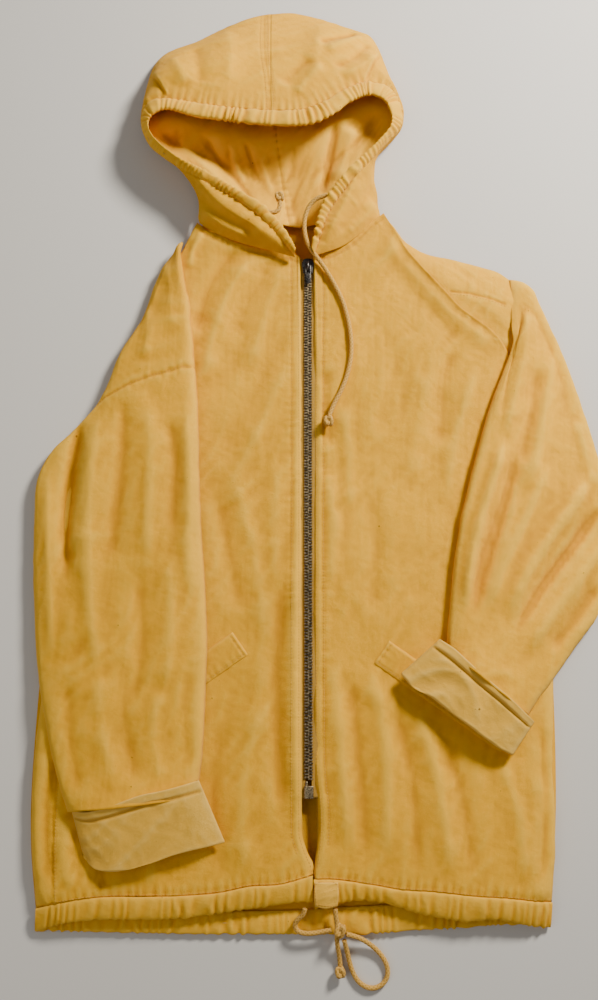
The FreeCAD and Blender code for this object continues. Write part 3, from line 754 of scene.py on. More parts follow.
def front_right_cloth():
    west = [(-295, -497, 5), (-302, -440, 5), (-303, -340, 6), (-299, -287, 6), (-290, -150, 7),
            (-262, 10, 8), (-232, 59, 8), (-190, 150, 9), (-160, 215, 10), (-142, 251, 12)]
    P = coons(HEM_STITCH_R, NECK_R, west, FRONT_EDGE_R, 58, 148)
    edge, _ = near_line(P, resample(west, 60))
    P[..., 2] = lerp(P[..., 2], 17.5, (1 - np.exp(-(edge / 22) ** 1.2)) * 0.85)
    P[..., 2] += 2.0 * creases(P, 240, 80, 82, 21) + 0.7 * creases(P, 110, 40, 55, 22)
    add_folds(P, [
        ([(-70, 214), (-88, 190), (-104, 158), (-114, 125), (-122, 92), (-130, 50)], 13, 9.5),
        ([(-92, 222), (-112, 190), (-126, 155), (-136, 110)], 11, -8),
        ([(-134, 238), (-142, 216), (-146, 190)], 5, 4.5),
        ([(-58, 205), (-66, 180), (-82, 150), (-96, 105)], 10, -4),
        ([(-46, 206), (-50, 180), (-64, 130), (-84, 70)], 12, 5.0),
        ([(-40, 130), (-60, 70), (-90, 10), (-112, -40)], 14, -3.5),
        ([(-36, 90), (-52, 40), (-80, -20), (-108, -80)], 13, 4.5),
        ([(-28, -120), (-30, -220), (-29, -330), (-26, -430)], 8, 5.5),
        ([(-42, -160), (-47, -280), (-42, -420)], 9, -4.5),
        ([(-96, -40), (-72, -130), (-58, -230)], 14, 4.4),
        ([(-112, -60), (-96, -140), (-84, -200)], 11, -4.0),
        ([(-44, -20), (-52, -100), (-46, -180)], 11, 3.4),
        ([(-60, -280), (-82, -380), (-80, -468)], 12, 4.0),
        ([(-100, -300), (-112, -390), (-104, -470)], 11, -3.6),
        ([(-140, -390), (-170, -440), (-178, -478)], 12, 3.6),
        ([(-270, -330), (-280, -400), (-276, -480)], 9, -4.0),
        ([(-258, -400), (-262, -440), (-254, -480)], 9, 3.2),
        ([(-220, -440), (-226, -462), (-224, -480)], 8, -3.0)])
    hold = border_pins(P, 1, 1, 1, 2)
    bed = plan_support(-330, 20, -520, 270, lambda Q: np.full(Q.shape[:-1], 15.3))
    P = settle(P, hold, bed)
    P = rolled_edge(P, -1)
    inner = [(x - 11, y) for x, y, z in FRONT_EDGE_R[2:]]
    close = [(x - 3.5, y) for x, y, z in FRONT_EDGE_R[1:]]
    P = finish_panel(P, [(inner, 0.7, 0.30), (close, 0.4, 0.15), (SIDE_SEAM_R, 1.0, 0.25),
                         ([(x, y + 4) for x, y, z in HEM_STITCH_R], 0.4, 0.9),
                         ([(x, y - 7) for x, y, z in NECK_R], 0.7, 0.35)])
    obj = cloth_object("front_right_cloth", P, CANVAS, thick=1.1)
    ride_as(obj, "torso", "canvas", "front_panel_right")
    return obj, P


FOLD_L = [(72, 260, 9), (85, 237, 15), (97, 215, 21), (111, 197, 23), (128, 177, 24),
          (144, 159, 25), (154, 147, 25), (171, 133, 26), (187, 121, 26), (198, 110, 25),
          (207, 96, 22)]


def front_left_cloth():
    east = [(235, -491, 5), (241, -440, 5), (242, -340, 6), (247, -258, 6), (243, -150, 8),
            (236, -60, 9), (222, 30, 12), (207, 96, 22)] + FOLD_L[-2::-1]
    north = NECK_L[:-1] + [(72, 260, 9)]
    P = coons(HEM_STITCH_L, north, FRONT_EDGE_L, east, 54, 148)
    edge, _ = near_line(P, resample(east[:7], 40))
    P[..., 2] = lerp(P[..., 2], 17.5, (1 - np.exp(-(edge / 22) ** 1.2)) * 0.8)
    P[..., 2] += 2.0 * creases(P, 240, 80, 97, 31) + 0.7 * creases(P, 110, 40, 120, 32)
    roll = [(x - 9, y - 9) for x, y, z in FOLD_L]
    add_folds(P, [
        (roll, 14, 7.0),
        ([(70, 215), (95, 178), (135, 130), (165, 95)], 15, -3.5),
        ([(15, 195), (36, 120), (50, 40), (56, -40)], 18, 3.6),
        ([(34, 200), (62, 140), (84, 70), (92, 0)], 16, -3.0),
        ([(6, 80), (4, 30), (8, -20)], 9, -5.0),
        ([(22, 40), (30, -30), (28, -90)], 11, 4.2),
        ([(4, -40), (12, -110), (8, -170)], 9, 3.4),
        ([(48, -60), (58, -140), (50, -200)], 12, -3.0),
        ([(150, 110), (134, 50), (128, -20)], 13, -4.5),
        ([(172, 80), (146, 0), (130, -80)], 11, 4.0),
        ([(118, 80), (104, 10), (98, -60)], 14, 3.0),
        ([(6, -230), (18, -330), (26, -450)], 10, 4.2),
        ([(26, -250), (38, -350), (44, -455)], 9, -4.0),
        ([(46, -240), (64, -340), (66, -455)], 10, 4.6),
        ([(72, -290), (92, -380), (96, -465)], 10, -4.4),
        ([(94, -290), (118, -380), (130, -465)], 10, 4.4),
        ([(120, -320), (144, -400), (152, -470)], 10, -3.8),
        ([(176, -340), (196, -400), (204, -470)], 11, 4.4),
        ([(222, -300), (226, -380), (222, -480)], 8, -4.2)])
    hold = border_pins(P, 1, 1, 2, 1)
    bed = plan_support(-40, 280, -520, 280, lambda Q: np.full(Q.shape[:-1], 15.3))
    P = settle(P, hold, bed)
    P = rolled_edge(P, 0)
    inner = [(x + 11, y) for x, y, z in FRONT_EDGE_L[2:]]
    close = [(x + 3.5, y) for x, y, z in FRONT_EDGE_L[1:]]
    P = finish_panel(P, [(inner, 0.7, 0.30), (close, 0.4, 0.15),
                         ([(x, y + 4) for x, y, z in HEM_STITCH_L], 0.4, 0.9),
                         ([(x, y - 7) for x, y, z in NECK_L], 0.7, 0.35)])
    obj = cloth_object("front_left_cloth", P, CANVAS, thick=1.1)
    ride_as(obj, "torso", "canvas", "front_panel_left")
    return obj, P


def shoulder_left_cloth():
    """Shoulder of the left front beyond its fold, lying flat beside the armhole."""
    south = [(x - 6, y - 8, max(z - 8, 4)) for x, y, z in FOLD_L] + [(222, 84, 10)]
    north = [(72, 262, 5), (86, 247, 4), (95, 233, 4), (114, 219, 4), (149, 209, 4),
             (183, 200, 4), (205, 192, 5), (216, 183, 6), (228, 178, 6)]
    west = [south[0], north[0]]
    east = [south[-1], (226, 140, 12), north[-1]]
    P = coons(south, north, west, east, 60, 26)
    rise = np.sin(np.linspace(0, math.pi, P.shape[0]))[:, None] ** 0.6
    P[..., 2] += 7 * rise + 1.2 * creases(P, 60, 24, -30, 51)
    P = finish_panel(P, [([(146, 164), (169, 161), (191, 155), (206, 150)], 1.2, 0.25)])
    obj = cloth_object("shoulder_left_cloth", P, CANVAS)
    ride_as(obj, "torso", "canvas")
    return obj, P


# ================================================================ sleeves
def sleeve_tube(inner, outer, rows, deep, folds, seed, seams, crease_turn=80.0):
    """Flattened sleeve: a top sheet that rises and sags between two folded edges, and an
    under sheet that rests on the body or the floor."""
    a, b = resample(inner, rows), resample(outer, rows)
    cols = 40
    t = np.linspace(0, 1, cols)[None, :, None]
    top = lerp(a[:, None], b[:, None], t)
    width = np.linalg.norm((b - a)[:, :2], axis=1)[:, None]
    t = t[..., 0]
    opening = smooth_step(np.linspace(0, 1, rows) * rows / 12 + 0.12)[:, None]
    hump = (1 - np.abs(2 * t - 1) ** 2.6) ** 0.62 * opening
    top[..., 2] += deep * np.minimum(1, width / 60) * hump
    top[..., 2] += (2.0 * creases(top, 190, 60, crease_turn, seed)
                    + 0.8 * creases(top, 90, 34, crease_turn - 35, seed + 1)) * hump
    add_folds(top, folds)
    under = lerp(a[:, None], b[:, None], np.linspace(0, 1, 20)[None, :, None])
    level = body_level(under)
    dip = np.sin(np.linspace(0, math.pi, 20))[None, :] ** 0.5
    under[..., 2] = lerp(under[..., 2], level + 1.2, dip * opening)
    bed = under.copy()
    bed[..., 2] += 8.0
    hold = border_pins(top)
    top = settle(top, hold, bed)
    for line, depth, pucker in seams:
        seam_relief(top, line, depth=depth * 0.6, pucker=pucker)
    top[..., 2] = np.maximum(top[..., 2], body_level(top) + 4.5 * hump)
    whole = np.concatenate([top, under[:, -2:0:-1]], axis=1)
    ring = np.concatenate([whole, whole[:, :1]], axis=1)
    fine = refine(ring)[:, :-1]
    for line, depth, pucker in seams:
        part = fine[:, : 2 * cols]
        part[:] = seam_relief(part.copy(), line, depth=depth, pucker=pucker)
    n = normals(fine)
    small = (0.55 * creases(fine, 46, 17, 70, seed + 2) + 0.26 * creases(fine, 19, 8, -30, seed + 3)
             + 0.22 * creases(fine, 60, 6, 84, seed + 4))
    return fine + n * small[..., None]


ROLL_IN_R = [(-157, 224, 17), (-159, 211, 21), (-157, 195, 22), (-153, 173, 22), (-148, 150, 22),
             (-146, 126, 22), (-143, 103, 22), (-141, 80, 22), (-138, 52, 22), (-135, 1, 22),
             (-133, -54, 22), (-130, -109, 22), (-125, -173, 22), (-122, -235, 22),
             (-123, -276, 22), (-124, -307, 22), (-125, -337, 22), (-130, -384, 24)]
ROLL_OUT_R = [(-159, 227, 12), (-166, 217, 11), (-174, 206, 10), (-183, 190, 10), (-190, 173, 10),
              (-196, 154, 10), (-203, 134, 10), (-212, 118, 10), (-223, 101, 10), (-231, 83, 10),
              (-236, 66, 10), (-243, 48, 10), (-254, 28, 9), (-275, 6, 8), (-299, -20, 8),
              (-311, -45, 8), (-314, -94, 8), (-311, -181, 8), (-306, -235, 8), (-299, -276, 10),
              (-290, -313, 12), (-279, -355, 15), (-264, -400, 19)]
ARMHOLE_R = [(-254, 28), (-242, 40), (-230, 46), (-209, 56), (-187, 64), (-171, 68), (-155, 73),
             (-141, 74)]


def sleeve_right_cloth():
    folds = [
        ([(-262, 22), (-266, -20), (-272, -90), (-268, -170)], 7, -9.0),
        ([(-240, 34), (-246, -20), (-250, -90), (-246, -170), (-232, -270)], 12, 7.0),
        ([(-214, 46), (-216, -20), (-222, -90), (-226, -150)], 11, -7.0),
        ([(-190, 50), (-188, -20), (-190, -90), (-186, -160)], 13, 5.5),
        ([(-168, 20), (-164, -50), (-166, -120)], 9, -5.0),
        ([(-150, 40), (-148, -40), (-146, -120), (-140, -190)], 9, 4.5),
        ([(-196, -150), (-190, -220), (-196, -300)], 12, -5.0),
        ([(-166, -130), (-162, -200), (-166, -280)], 12, 4.5),
        ([(-180, 210), (-170, 160), (-164, 110)], 9, 4.5),
        ([(-196, 150), (-192, 120), (-196, 80)], 8, 3.0),
        ([(-292, -40), (-290, -140), (-284, -240)], 8, 4.0),
        ([(-236, -250), (-226, -320), (-210, -380)], 12, 4.5),
        ([(-206, -240), (-204, -310), (-190, -376)], 11, -4.0),
        ([(-266, -260), (-256, -330), (-246, -385)], 10, -4.5),
        ([(-172, -270), (-176, -330), (-164, -372)], 10, 3.5),
        ([(-140, -250), (-144, -310), (-140, -360)], 9, -3.0)]
    P = sleeve_tube(ROLL_IN_R, ROLL_OUT_R, 132, 21, folds, 61, [(ARMHOLE_R, 1.3, 0.30)])
    return P


SLEEVE_L_OUT = [(215, 183, 8), (227, 181, 8), (238, 175, 7), (248, 153, 6), (257, 130, 5),
                (267, 107, 4), (282, 62, 4), (296, 14, 4), (306, -24, 4), (313, -71, 4),
                (314, -121, 4), (306, -170, 5), (296, -200, 6), (280, -220, 9), (264, -240, 11),
                (250, -258, 14), (238, -273, 16), (226, -287, 19), (214, -304, 21)]
SLEEVE_L_IN = [(212, 118, 24), (213, 104, 24), (209, 90, 24), (202, 72, 24), (195, 56, 24),
               (187, 35, 24), (179, 12, 24), (171, -16, 24), (163, -43, 24), (157, -65, 24),
               (151, -87, 24), (145, -119, 24), (141, -141, 24), (137, -173, 24),
               (133, -204, 24), (130, -236, 24)]


def sleeve_left_cloth():
    folds = [
        ([(226, 160), (228, 110), (216, 50), (200, -10)], 9, 4.5),
        ([(262, 110), (250, 50), (236, -10), (224, -70)], 12, 5.5),
        ([(242, 80), (232, 20), (218, -40)], 9, -5.0),
        ([(204, 0), (186, -66), (166, -130), (148, -200)], 7, 9.0),
        ([(216, -20), (198, -84), (178, -140), (160, -204)], 6, -8.0),
        ([(250, -30), (226, -80), (200, -130), (174, -196)], 9, 5.0),
        ([(300, -40), (262, -92), (226, -140), (192, -204)], 9, 8.0),
        ([(302, -76), (266, -126), (228, -174), (200, -222)], 6, -8.0),
        ([(308, -110), (272, -160), (236, -205), (212, -244)], 11, 7.0),
        ([(296, -160), (268, -196), (238, -236)], 8, -5.0),
        ([(276, 20), (288, -20), (296, -60)], 9, 3.5)]
    P = sleeve_tube(SLEEVE_L_OUT, SLEEVE_L_IN, 106, 22, folds, 71, [], crease_turn=65.0)
    return P


def cuff_ring(name, top, mouth, material, seed, inside=26.0):
    """Turned-back cuff: a wide ring folded at the mouth, with a stitched band on its free
    edge, going back inside the sleeve."""
    half = 34
    edge, end = resample(top, half), resample(mouth, half)
    rows_out = np.linspace(0, 1, 26)
    across = np.linspace(0, 1, half)
    arch = (1 - np.abs(2 * across - 1) ** 3) ** 0.6
    run = length_of(edge)

    def ring(line, inset, wave):
        """Closed loop: the visible upper side, then the under side."""
        upper = line.copy()
        upper[:, 2] += wave
        lower = line[::-1].copy()
        centre = line.mean(0)
        base = body_level(lower) + 1.5
        thick = arch[::-1]
        lower[:, 2] = lerp(upper[::-1, 2] - 3, np.maximum(base, 1), thick ** 0.7)
        loop = np.vstack([upper, lower[1:-1]])
        loop[:, :2] += (centre - loop)[:, :2] * inset / (run / 2)
        loop[:, 2] = lerp(loop[:, 2], loop[:, 2].mean(), min(0.5, inset / 22))
        return loop

    P_rows = []
    for t, sink in ((0.055, 2.6), (0.02, 2.4), (0.0, 1.2)):
        line = lerp(edge, end, t)
        P_rows.append(ring(line, sink, np.zeros(half) - sink * 0.8))
    for t in rows_out:
        line = lerp(edge, end, t)
        dist = t * np.linalg.norm(end.mean(0) - edge.mean(0))
        band = -1.5 * np.exp(-((dist - 9.5) / 1.8) ** 2) + 1.3 * (dist < 9.0)
        q = np.stack([line[:, 0], line[:, 1]], -1)
        wave = (band + 2.6 * creases(q, 85, 34, 25, seed) * smooth_step(t * 3)
                + 0.5 * creases(q, 26, 12, -40, seed + 1))
        P_rows.append(ring(line, 0, wave * arch ** 0.5))
    inward = (edge.mean(0) - end.mean(0))
    inward /= np.linalg.norm(inward)
    for back, inset in ((-1.6, 0.8), (-1.2, 2.2), (3, 3.4), (12, 4.2), (inside, 5.0)):
        line = end + inward * back
        P_rows.append(ring(line, inset, np.zeros(half) - inset * 0.4))
    P = np.array(P_rows)
    ring_closed = np.concatenate([P, P[:, :1]], axis=1)[:, ::-1]
    P = refine(ring_closed)[:, :-1]
    P[..., 2] = np.maximum(P[..., 2], body_level(P, 22.0))
    obj = cloth_object(name, P, material, thick=0.9, wrap=True)
    return obj, P


# ================================================================ hood
RIM_IN = [(-27, 207, 30), (-33, 219, 34), (-44, 236, 37), (-55, 248, 39), (-66, 259, 41),
          (-91, 274, 43), (-125, 295, 44), (-159, 313, 44), (-176, 326, 43), (-188, 338, 42),
          (-195, 349, 41), (-196, 361, 41), (-188, 370, 43), (-172, 372, 45), (-143, 362, 47),
          (-109, 356, 49), (-75, 351, 50), (-41, 349, 50), (-10, 352, 49), (16, 366, 47),
          (35, 382, 45), (56, 391, 43), (72, 386, 41), (80, 372, 39), (79, 355, 39),
          (65, 336, 41), (46, 316, 42), (30, 300, 42), (15, 281, 41), (4, 266, 40),
          (-3, 250, 37), (-8, 229, 33), (-12, 209, 30)]
RIM_OUT = [(-30, 204, 27), (-41, 216, 31), (-53, 230, 34), (-67, 244, 37), (-85, 258, 39),
           (-103, 270, 40), (-134, 288, 39), (-154, 301, 37), (-177, 318, 33), (-195, 335, 29),
           (-204, 353, 26), (-207, 370, 27), (-199, 387, 33), (-178, 389, 39), (-143, 381, 44),
           (-109, 374, 47), (-75, 370, 48), (-41, 369, 48), (-16, 372, 47), (8, 384, 46),
           (29, 399, 43), (53, 410, 39), (76, 408, 34), (89, 396, 29), (95, 378, 25),
           (93, 361, 26), (77, 341, 30), (59, 318, 35), (44, 299, 37), (29, 281, 37),
           (15, 262, 36), (6, 246, 34), (0, 228, 31), (-8, 206, 27)]
HOOD_EDGE = [(-30, 203, 25), (-46, 208, 24), (-63, 213, 23), (-98, 224, 21), (-125, 238, 17),
             (-142, 254, 10), (-139, 271, 8), (-144, 290, 7), (-154, 308, 7), (-170, 326, 7),
             (-190, 341, 8), (-205, 356, 10), (-210, 373, 13), (-209, 391, 11), (-206, 421, 7),
             (-197, 453, 6), (-179, 472, 5), (-149, 484, 4), (-114, 503, 4), (-78, 518, 4),
             (-36, 523, 4), (0, 515, 4), (36, 502, 4), (60, 492, 5), (71, 471, 6), (83, 435, 7),
             (93, 407, 9), (98, 385, 13), (95, 368, 10), (81, 351, 7), (67, 336, 7), (61, 322, 7),
             (62, 305, 7), (66, 287, 7), (66, 271, 7), (69, 258, 9), (47, 236, 18), (27, 219, 22),
             (8, 210, 24), (-8, 205, 25)]
CENTRE_SEAM = [(-66, 517), (-66, 470), (-64, 440), (-60, 412), (-58, 385), (-58, 371)]


def rim_match(n):
    """Rim and outer edge of the hood sampled so that their cells lie across the cloth."""
    rim_marks = [(0, 0), (9, 9), (11, 12), (17, 20), (24, 27), (26, 30), (33, 39)]
    rim_all, edge_all = [], []
    shares = [9, 3, 11, 12, 3, 10]
    total = sum(shares)
    for (r0, e0), (r1, e1), share in zip(rim_marks, rim_marks[1:], shares):
        count = max(4, int(n * share / total))
        rim_all.append(even(dense_part(RIM_OUT, r0, r1), count + 1)[:-1])
        edge_all.append(even(dense_part(HOOD_EDGE, e0, e1), count + 1)[:-1])
    rim = np.vstack(rim_all + [np.array([RIM_OUT[-1]], float)])
    edge = np.vstack(edge_all + [np.array([HOOD_EDGE[-1]], float)])
    for _ in range(6):
        rim[1:-1] = (rim[:-2] + 2 * rim[1:-1] + rim[2:]) / 4
        edge[1:-1] = (edge[:-2] + 2 * edge[1:-1] + edge[2:]) / 4
    return rim, edge


def dense_part(points, first, last):
    """Smooth piece of a long curve between two of its own points."""
    pts = np.array(points, float)
    out = []
    for i in range(first, last):
        p0, p1, p2, p3 = (pts[max(i - 1, 0)], pts[i], pts[i + 1], pts[min(i + 2, len(pts) - 1)])
        t = np.linspace(0, 1, 12, endpoint=False)[:, None]
        out.append(0.5 * ((2 * p1) + (p2 - p0) * t + (2 * p0 - 5 * p1 + 4 * p2 - p3) * t**2
                          + (3 * p1 - p0 - 3 * p2 + p3) * t**3))
    return np.vstack(out + [pts[last:last + 1]])


def hood_outer():
    """Outer cloth of the hood, from the casing round the face to its silhouette."""
    rim, edge = rim_match(300)
    rows = 34
    t = np.linspace(0, 1, rows)[:, None, None]
    P = lerp(rim[None], edge[None], t)
    gap = np.linalg.norm((edge - rim)[:, :2], axis=1)[None, :]
    crown = smooth_step((rim[:, 1] - 365) / 10)[None, :]
    s = t[..., 0]
    dome = (1 - s ** 2.6) * (rim[:, 2] - edge[:, 2])[None, :] + edge[:, 2][None, :]
    cone = lerp(rim[:, 2][None, :], edge[:, 2][None, :], s ** 1.15)
    swell = 9 * np.sin(math.pi * s) * np.minimum(1, gap / 60)
    P[..., 2] = lerp(cone + swell * 0.7, dome + 4 * np.sin(math.pi * s) * (gap > 60), crown)
    P[..., 2] += 1.8 * creases(P, 90, 32, 15, 81) * np.sin(math.pi * s) ** 0.7
    add_folds(P, [
        ([(46, 490), (20, 474), (-4, 462)], 6, -4.6),
        ([(52, 482), (26, 462), (4, 448)], 7, 4.0),
        ([(60, 470), (34, 436), (12, 424)], 6, -4.0),
        ([(66, 450), (48, 428), (26, 412)], 6, 3.2),
        ([(-10, 440), (-26, 424), (-44, 402)], 9, -3.0),
        ([(4, 430), (-14, 410), (-30, 388)], 8, 3.0),
        ([(-176, 450), (-160, 420), (-156, 400)], 10, 3.4),
        ([(-148, 470), (-140, 430), (-138, 396)], 9, -3.0),
        ([(-112, 500), (-104, 450), (-106, 396)], 11, 2.8),
        ([(-150, 300), (-115, 262), (-75, 235), (-36, 212)], 9, 4.5),
        ([(-148, 282), (-110, 248), (-70, 226)], 7, -4.5),
        ([(-139, 262), (-112, 240), (-80, 225)], 6, 3.5),
        ([(52, 330), (38, 290), (20, 250), (0, 215)], 7, 4.0),
        ([(62, 300), (44, 262), (18, 228)], 6, -4.0),
        ([(64, 275), (50, 250), (26, 228)], 5, 2.5)])
    return P, rim, edge


def hood_interior():
    """Inside of the hood: its back cloth, hollow in the middle and rising to the rim."""
    south = [(-140, 252, 8), (-100, 250, 4), (-60, 247, 3), (-10, 246, 3), (35, 250, 4), (66, 258, 8)]
    west = [(-140, 252, 8), (-139, 285, 6), (-155, 311, 6), (-188, 342, 6), (-206, 372, 8),
            (-204, 420, 6), (-193, 455, 4)]
    east = [(66, 258, 8), (62, 300, 6), (66, 335, 6), (92, 372, 8), (90, 405, 7), (80, 440, 5),
            (70, 470, 4)]
    north = [(-193, 455, 4), (-150, 482, 3), (-80, 515, 3), (-36, 520, 3), (0, 513, 3),
             (45, 497, 3), (70, 470, 4)]
    P = coons(south, north, west, east, 60, 56)
    rim_gap, _ = near_line(P, resample(RIM_IN, 120))
    bowl = np.exp(-(rim_gap / 24) ** 2)
    P[..., 2] += 13 * bowl + 2.2 * creases(P, 80, 26, 70, 91)
    add_folds(P, [
        ([(-172, 356), (-146, 330), (-118, 298), (-92, 268)], 13, 9),
        ([(-140, 360), (-118, 330), (-94, 300), (-76, 274)], 5, -4),
        ([(-104, 352), (-98, 322), (-86, 300)], 4, 2.4),
        ([(-88, 352), (-80, 326), (-74, 304)], 3.5, -2.2),
        ([(-68, 340), (-64, 312), (-54, 288)], 4, 2.0),
        ([(-30, 350), (-34, 316), (-46, 290)], 5, -1.8),
        ([(20, 378), (12, 340), (6, 308), (2, 280)], 5, -6),
        ([(40, 372), (28, 330), (16, 298)], 10, 6)])
    P = refine(P)
    P[..., 2] = np.maximum(P[..., 2] + 0.35 * creases(P, 22, 8, 60, 92), 1.4)
    seam = [(-35, 246), (-40, 275), (-45, 310), (-52, 360), (-58, 420), (-62, 500)]
    return seam_relief(P, seam, depth=0.9, pucker=0.5)


def rim_casing():
    """Gathered casing round the face, with its drawcord making it full."""
    n = 520
    outer = even(dense_part(RIM_OUT, 0, len(RIM_OUT) - 1), n)
    inner = even(dense_part(RIM_IN, 0, len(RIM_IN) - 1), n)
    match = np.array([np.argmin(np.linalg.norm(inner[:, :2] - o[:2], axis=1)) for o in outer])
    match = np.maximum.accumulate(match)
    kernel = np.ones(25) / 25
    match = np.convolve(np.pad(match.astype(float), 12, mode="edge"), kernel, "valid")
    inner = np.stack([np.interp(match, np.arange(n), inner[:, k]) for k in range(3)], 1)
    run = np.linspace(0, length_of(outer), n)
    around = 24
    a = np.linspace(0, TAU, around, endpoint=False)
    across = (0.5 - 0.5 * np.cos(a))[None, :]
    side = np.sin(a)[None, :]
    phase = run[:, None] / 8.0 + 2.2 * noise(run / 24, run * 0 + 0.5, 101)[:, None]
    strong = 0.35 + 1.1 * np.abs(noise(run / 40, run * 0 + 0.2, 103))[:, None]
    ripple = strong * np.sin(TAU * phase + 1.4 * across + 1.4 * noise(run[:, None] / 16, across * 1.4, 102))
    half = strong * np.sin(TAU * phase * 0.5 + 0.7)
    fat = 5.0 * (0.84 + 0.30 * ripple + 0.12 * half)
    lift = np.where(side > 0, np.abs(side) ** 0.75 * fat, -np.abs(side) ** 0.75 * 3.6)
    P = lerp(outer[:, None], inner[:, None], across[..., None])
    P[..., 2] += lift
    reach = inner - outer
    P[..., :2] += (reach / (np.linalg.norm(reach, axis=1, keepdims=True) + 1e-6))[:, None, :2] \
        * (1.9 * ripple * (across - 0.4))[..., None]
    return P


# ================================================================ assembly of the cloth
back_cloth()
RIGHT_CHEST, _ = front_right_cloth()
LEFT_CHEST, _ = front_left_cloth()
SHOULDER, _ = shoulder_left_cloth()
CHEST = [surface(o) for o in (RIGHT_CHEST, LEFT_CHEST, SHOULDER)]

SLEEVE_R_GRID = sleeve_right_cloth()
SLEEVE_R = cloth_object("sleeve_right_cloth", SLEEVE_R_GRID, CANVAS, thick=1.0, wrap=True)
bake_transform(SLEEVE_R)
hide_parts("sleeve_right")

SLEEVE_L_GRID = sleeve_left_cloth()
SLEEVE_L = cloth_object("sleeve_left_cloth", SLEEVE_L_GRID, CANVAS, thick=1.0, wrap=True)
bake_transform(SLEEVE_L)
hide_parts("sleeve_left")

CUFF_R_TOP = [(-258, -398, 27), (-244, -399, 32), (-226, -395, 37), (-205, -388, 40),
              (-185, -381, 42), (-165, -377, 42), (-145, -372, 41), (-127, -367, 36)]
CUFF_R_MOUTH = [(-246, -443, 21), (-236, -453, 25), (-220, -456, 29), (-200, -454, 32),
                (-185, -450, 33), (-169, -445, 34), (-155, -440, 34), (-135, -435, 33),
                (-115, -431, 30), (-101, -428, 25)]
CUFF_L_TOP = [(122, -224, 36), (136, -234, 41), (151, -248, 42), (171, -266, 42),
              (191, -283, 41), (207, -298, 37), (219, -309, 30)]
CUFF_L_MOUTH = [(82, -259, 30), (95, -273, 35), (110, -281, 37), (130, -296, 38),
                (150, -311, 38), (170, -326, 36), (185, -336, 34), (196, -342, 29)]
CUFF_R, _ = cuff_ring("cuff_right_cloth", CUFF_R_TOP, CUFF_R_MOUTH, INSIDE, 111)
CUFF_L, _ = cuff_ring("cuff_left_cloth", CUFF_L_TOP, CUFF_L_MOUTH, INSIDE, 121)
ride_as(CUFF_R, "sleeve_right", "canvas_inside", "cuff_right")
ride_as(CUFF_L, "sleeve_left", "canvas_inside", "cuff_left")


# ================================================================ assembly of the hood
OUTER, RIM, _ = hood_outer()
SPLIT = int(np.argmax((RIM[:, 0] > -58) & (RIM[:, 1] > 360)))
FOLD_START = (-0.04, 0.246, 0.028)
FOLD_END = (-0.04, 0.330, 0.028)


def hood_piece(name, P, slot, *replaced, thick=1.0, wrap=False, material=CANVAS):
    obj = cloth_object(name, P, material, thick=thick, wrap=wrap)
    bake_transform(obj)
    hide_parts(*replaced)
    return obj


def hood_half(name, P, *replaced):
    P = refine(P)
    for line, depth, pucker in (([(x - 4, y) for x, y in CENTRE_SEAM], 0.6, 0.10),
                                ([(x + 4, y) for x, y in CENTRE_SEAM], 0.6, 0.12),
                                (CENTRE_SEAM, 1.0, 0.05)):
        seam_relief(P, line, depth=depth, pucker=pucker)
    rim_gap, at = near_line(P, RIM[::4])
    ripple = np.sin(TAU * at * length_of(RIM[:, :2]) / 9.0 + 3 * noise(at * 40, at * 0, 83))
    on_crown = 0.3 + 0.7 * smooth_step((P[..., 1] - 355) / 20)
    P[..., 2] += 0.7 * ripple * on_crown * np.exp(-rim_gap / 9)
    n = normals(P)
    P = P + n * (0.50 * creases(P, 46, 17, 30, 84) + 0.26 * creases(P, 19, 8, -40, 85))[..., None]
    obj = hood_piece(name, P, "canvas", *replaced)
    return obj, P


HOOD_R, _ = hood_half("hood_right_cloth", OUTER[:, :SPLIT + 1], "hood_panel_right",
                      "hood_neck_right")
HOOD_L, _ = hood_half("hood_left_cloth", OUTER[:, SPLIT:], "hood_panel_left",
                      "hood_neck_left")
INNER_GRID = hood_interior()
HOOD_IN = hood_piece("hood_inner_cloth", INNER_GRID, "canvas", material=HOOD_INSIDE_PAINTED_LIGHT)
CASING_GRID = rim_casing()
HOOD_CASING = hood_piece("hood_casing_cloth", CASING_GRID, "canvas", "hood_casing", thick=0, wrap=True)
FACE_CORD = CASING_GRID[30:-30:8].mean(axis=1)
HOOD_CORD = braided_tube("hood_cord_hidden", FACE_CORD, 2.0, CORD, step=4.0, around=8)
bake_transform(HOOD_CORD)
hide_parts("hood_cord_in_casing")


# ================================================================ assembly of the hem
HEM_R, _ = gathered_band("hem_right_cloth", HEM_STITCH_R, HEM_LOW_R, 3.8, 131)
HEM_L, _ = gathered_band("hem_left_cloth", HEM_STITCH_L, HEM_LOW_L, 3.8, 132)
HEM_B, _ = gathered_band("hem_back_cloth", HEM_BACK_STITCH, HEM_BACK_LOW, 3.2, 133)
ride_as(HEM_R, "torso", "canvas", "hem_casing_front_right")
ride_as(HEM_L, "torso", "canvas", "hem_casing_front_left")
ride_as(HEM_B, "torso", "canvas", "hem_casing_back")
HEM_CORD_R = casing_cord("hem_cord_hidden_right", HEM_STITCH_R, HEM_LOW_R, 3, "torso")
casing_cord("hem_cord_hidden_left", HEM_STITCH_L, HEM_LOW_L, 3, "torso")
casing_cord("hem_cord_hidden_back", HEM_BACK_STITCH, HEM_BACK_LOW, 3, "torso")
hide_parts("hem_cord_in_casing")


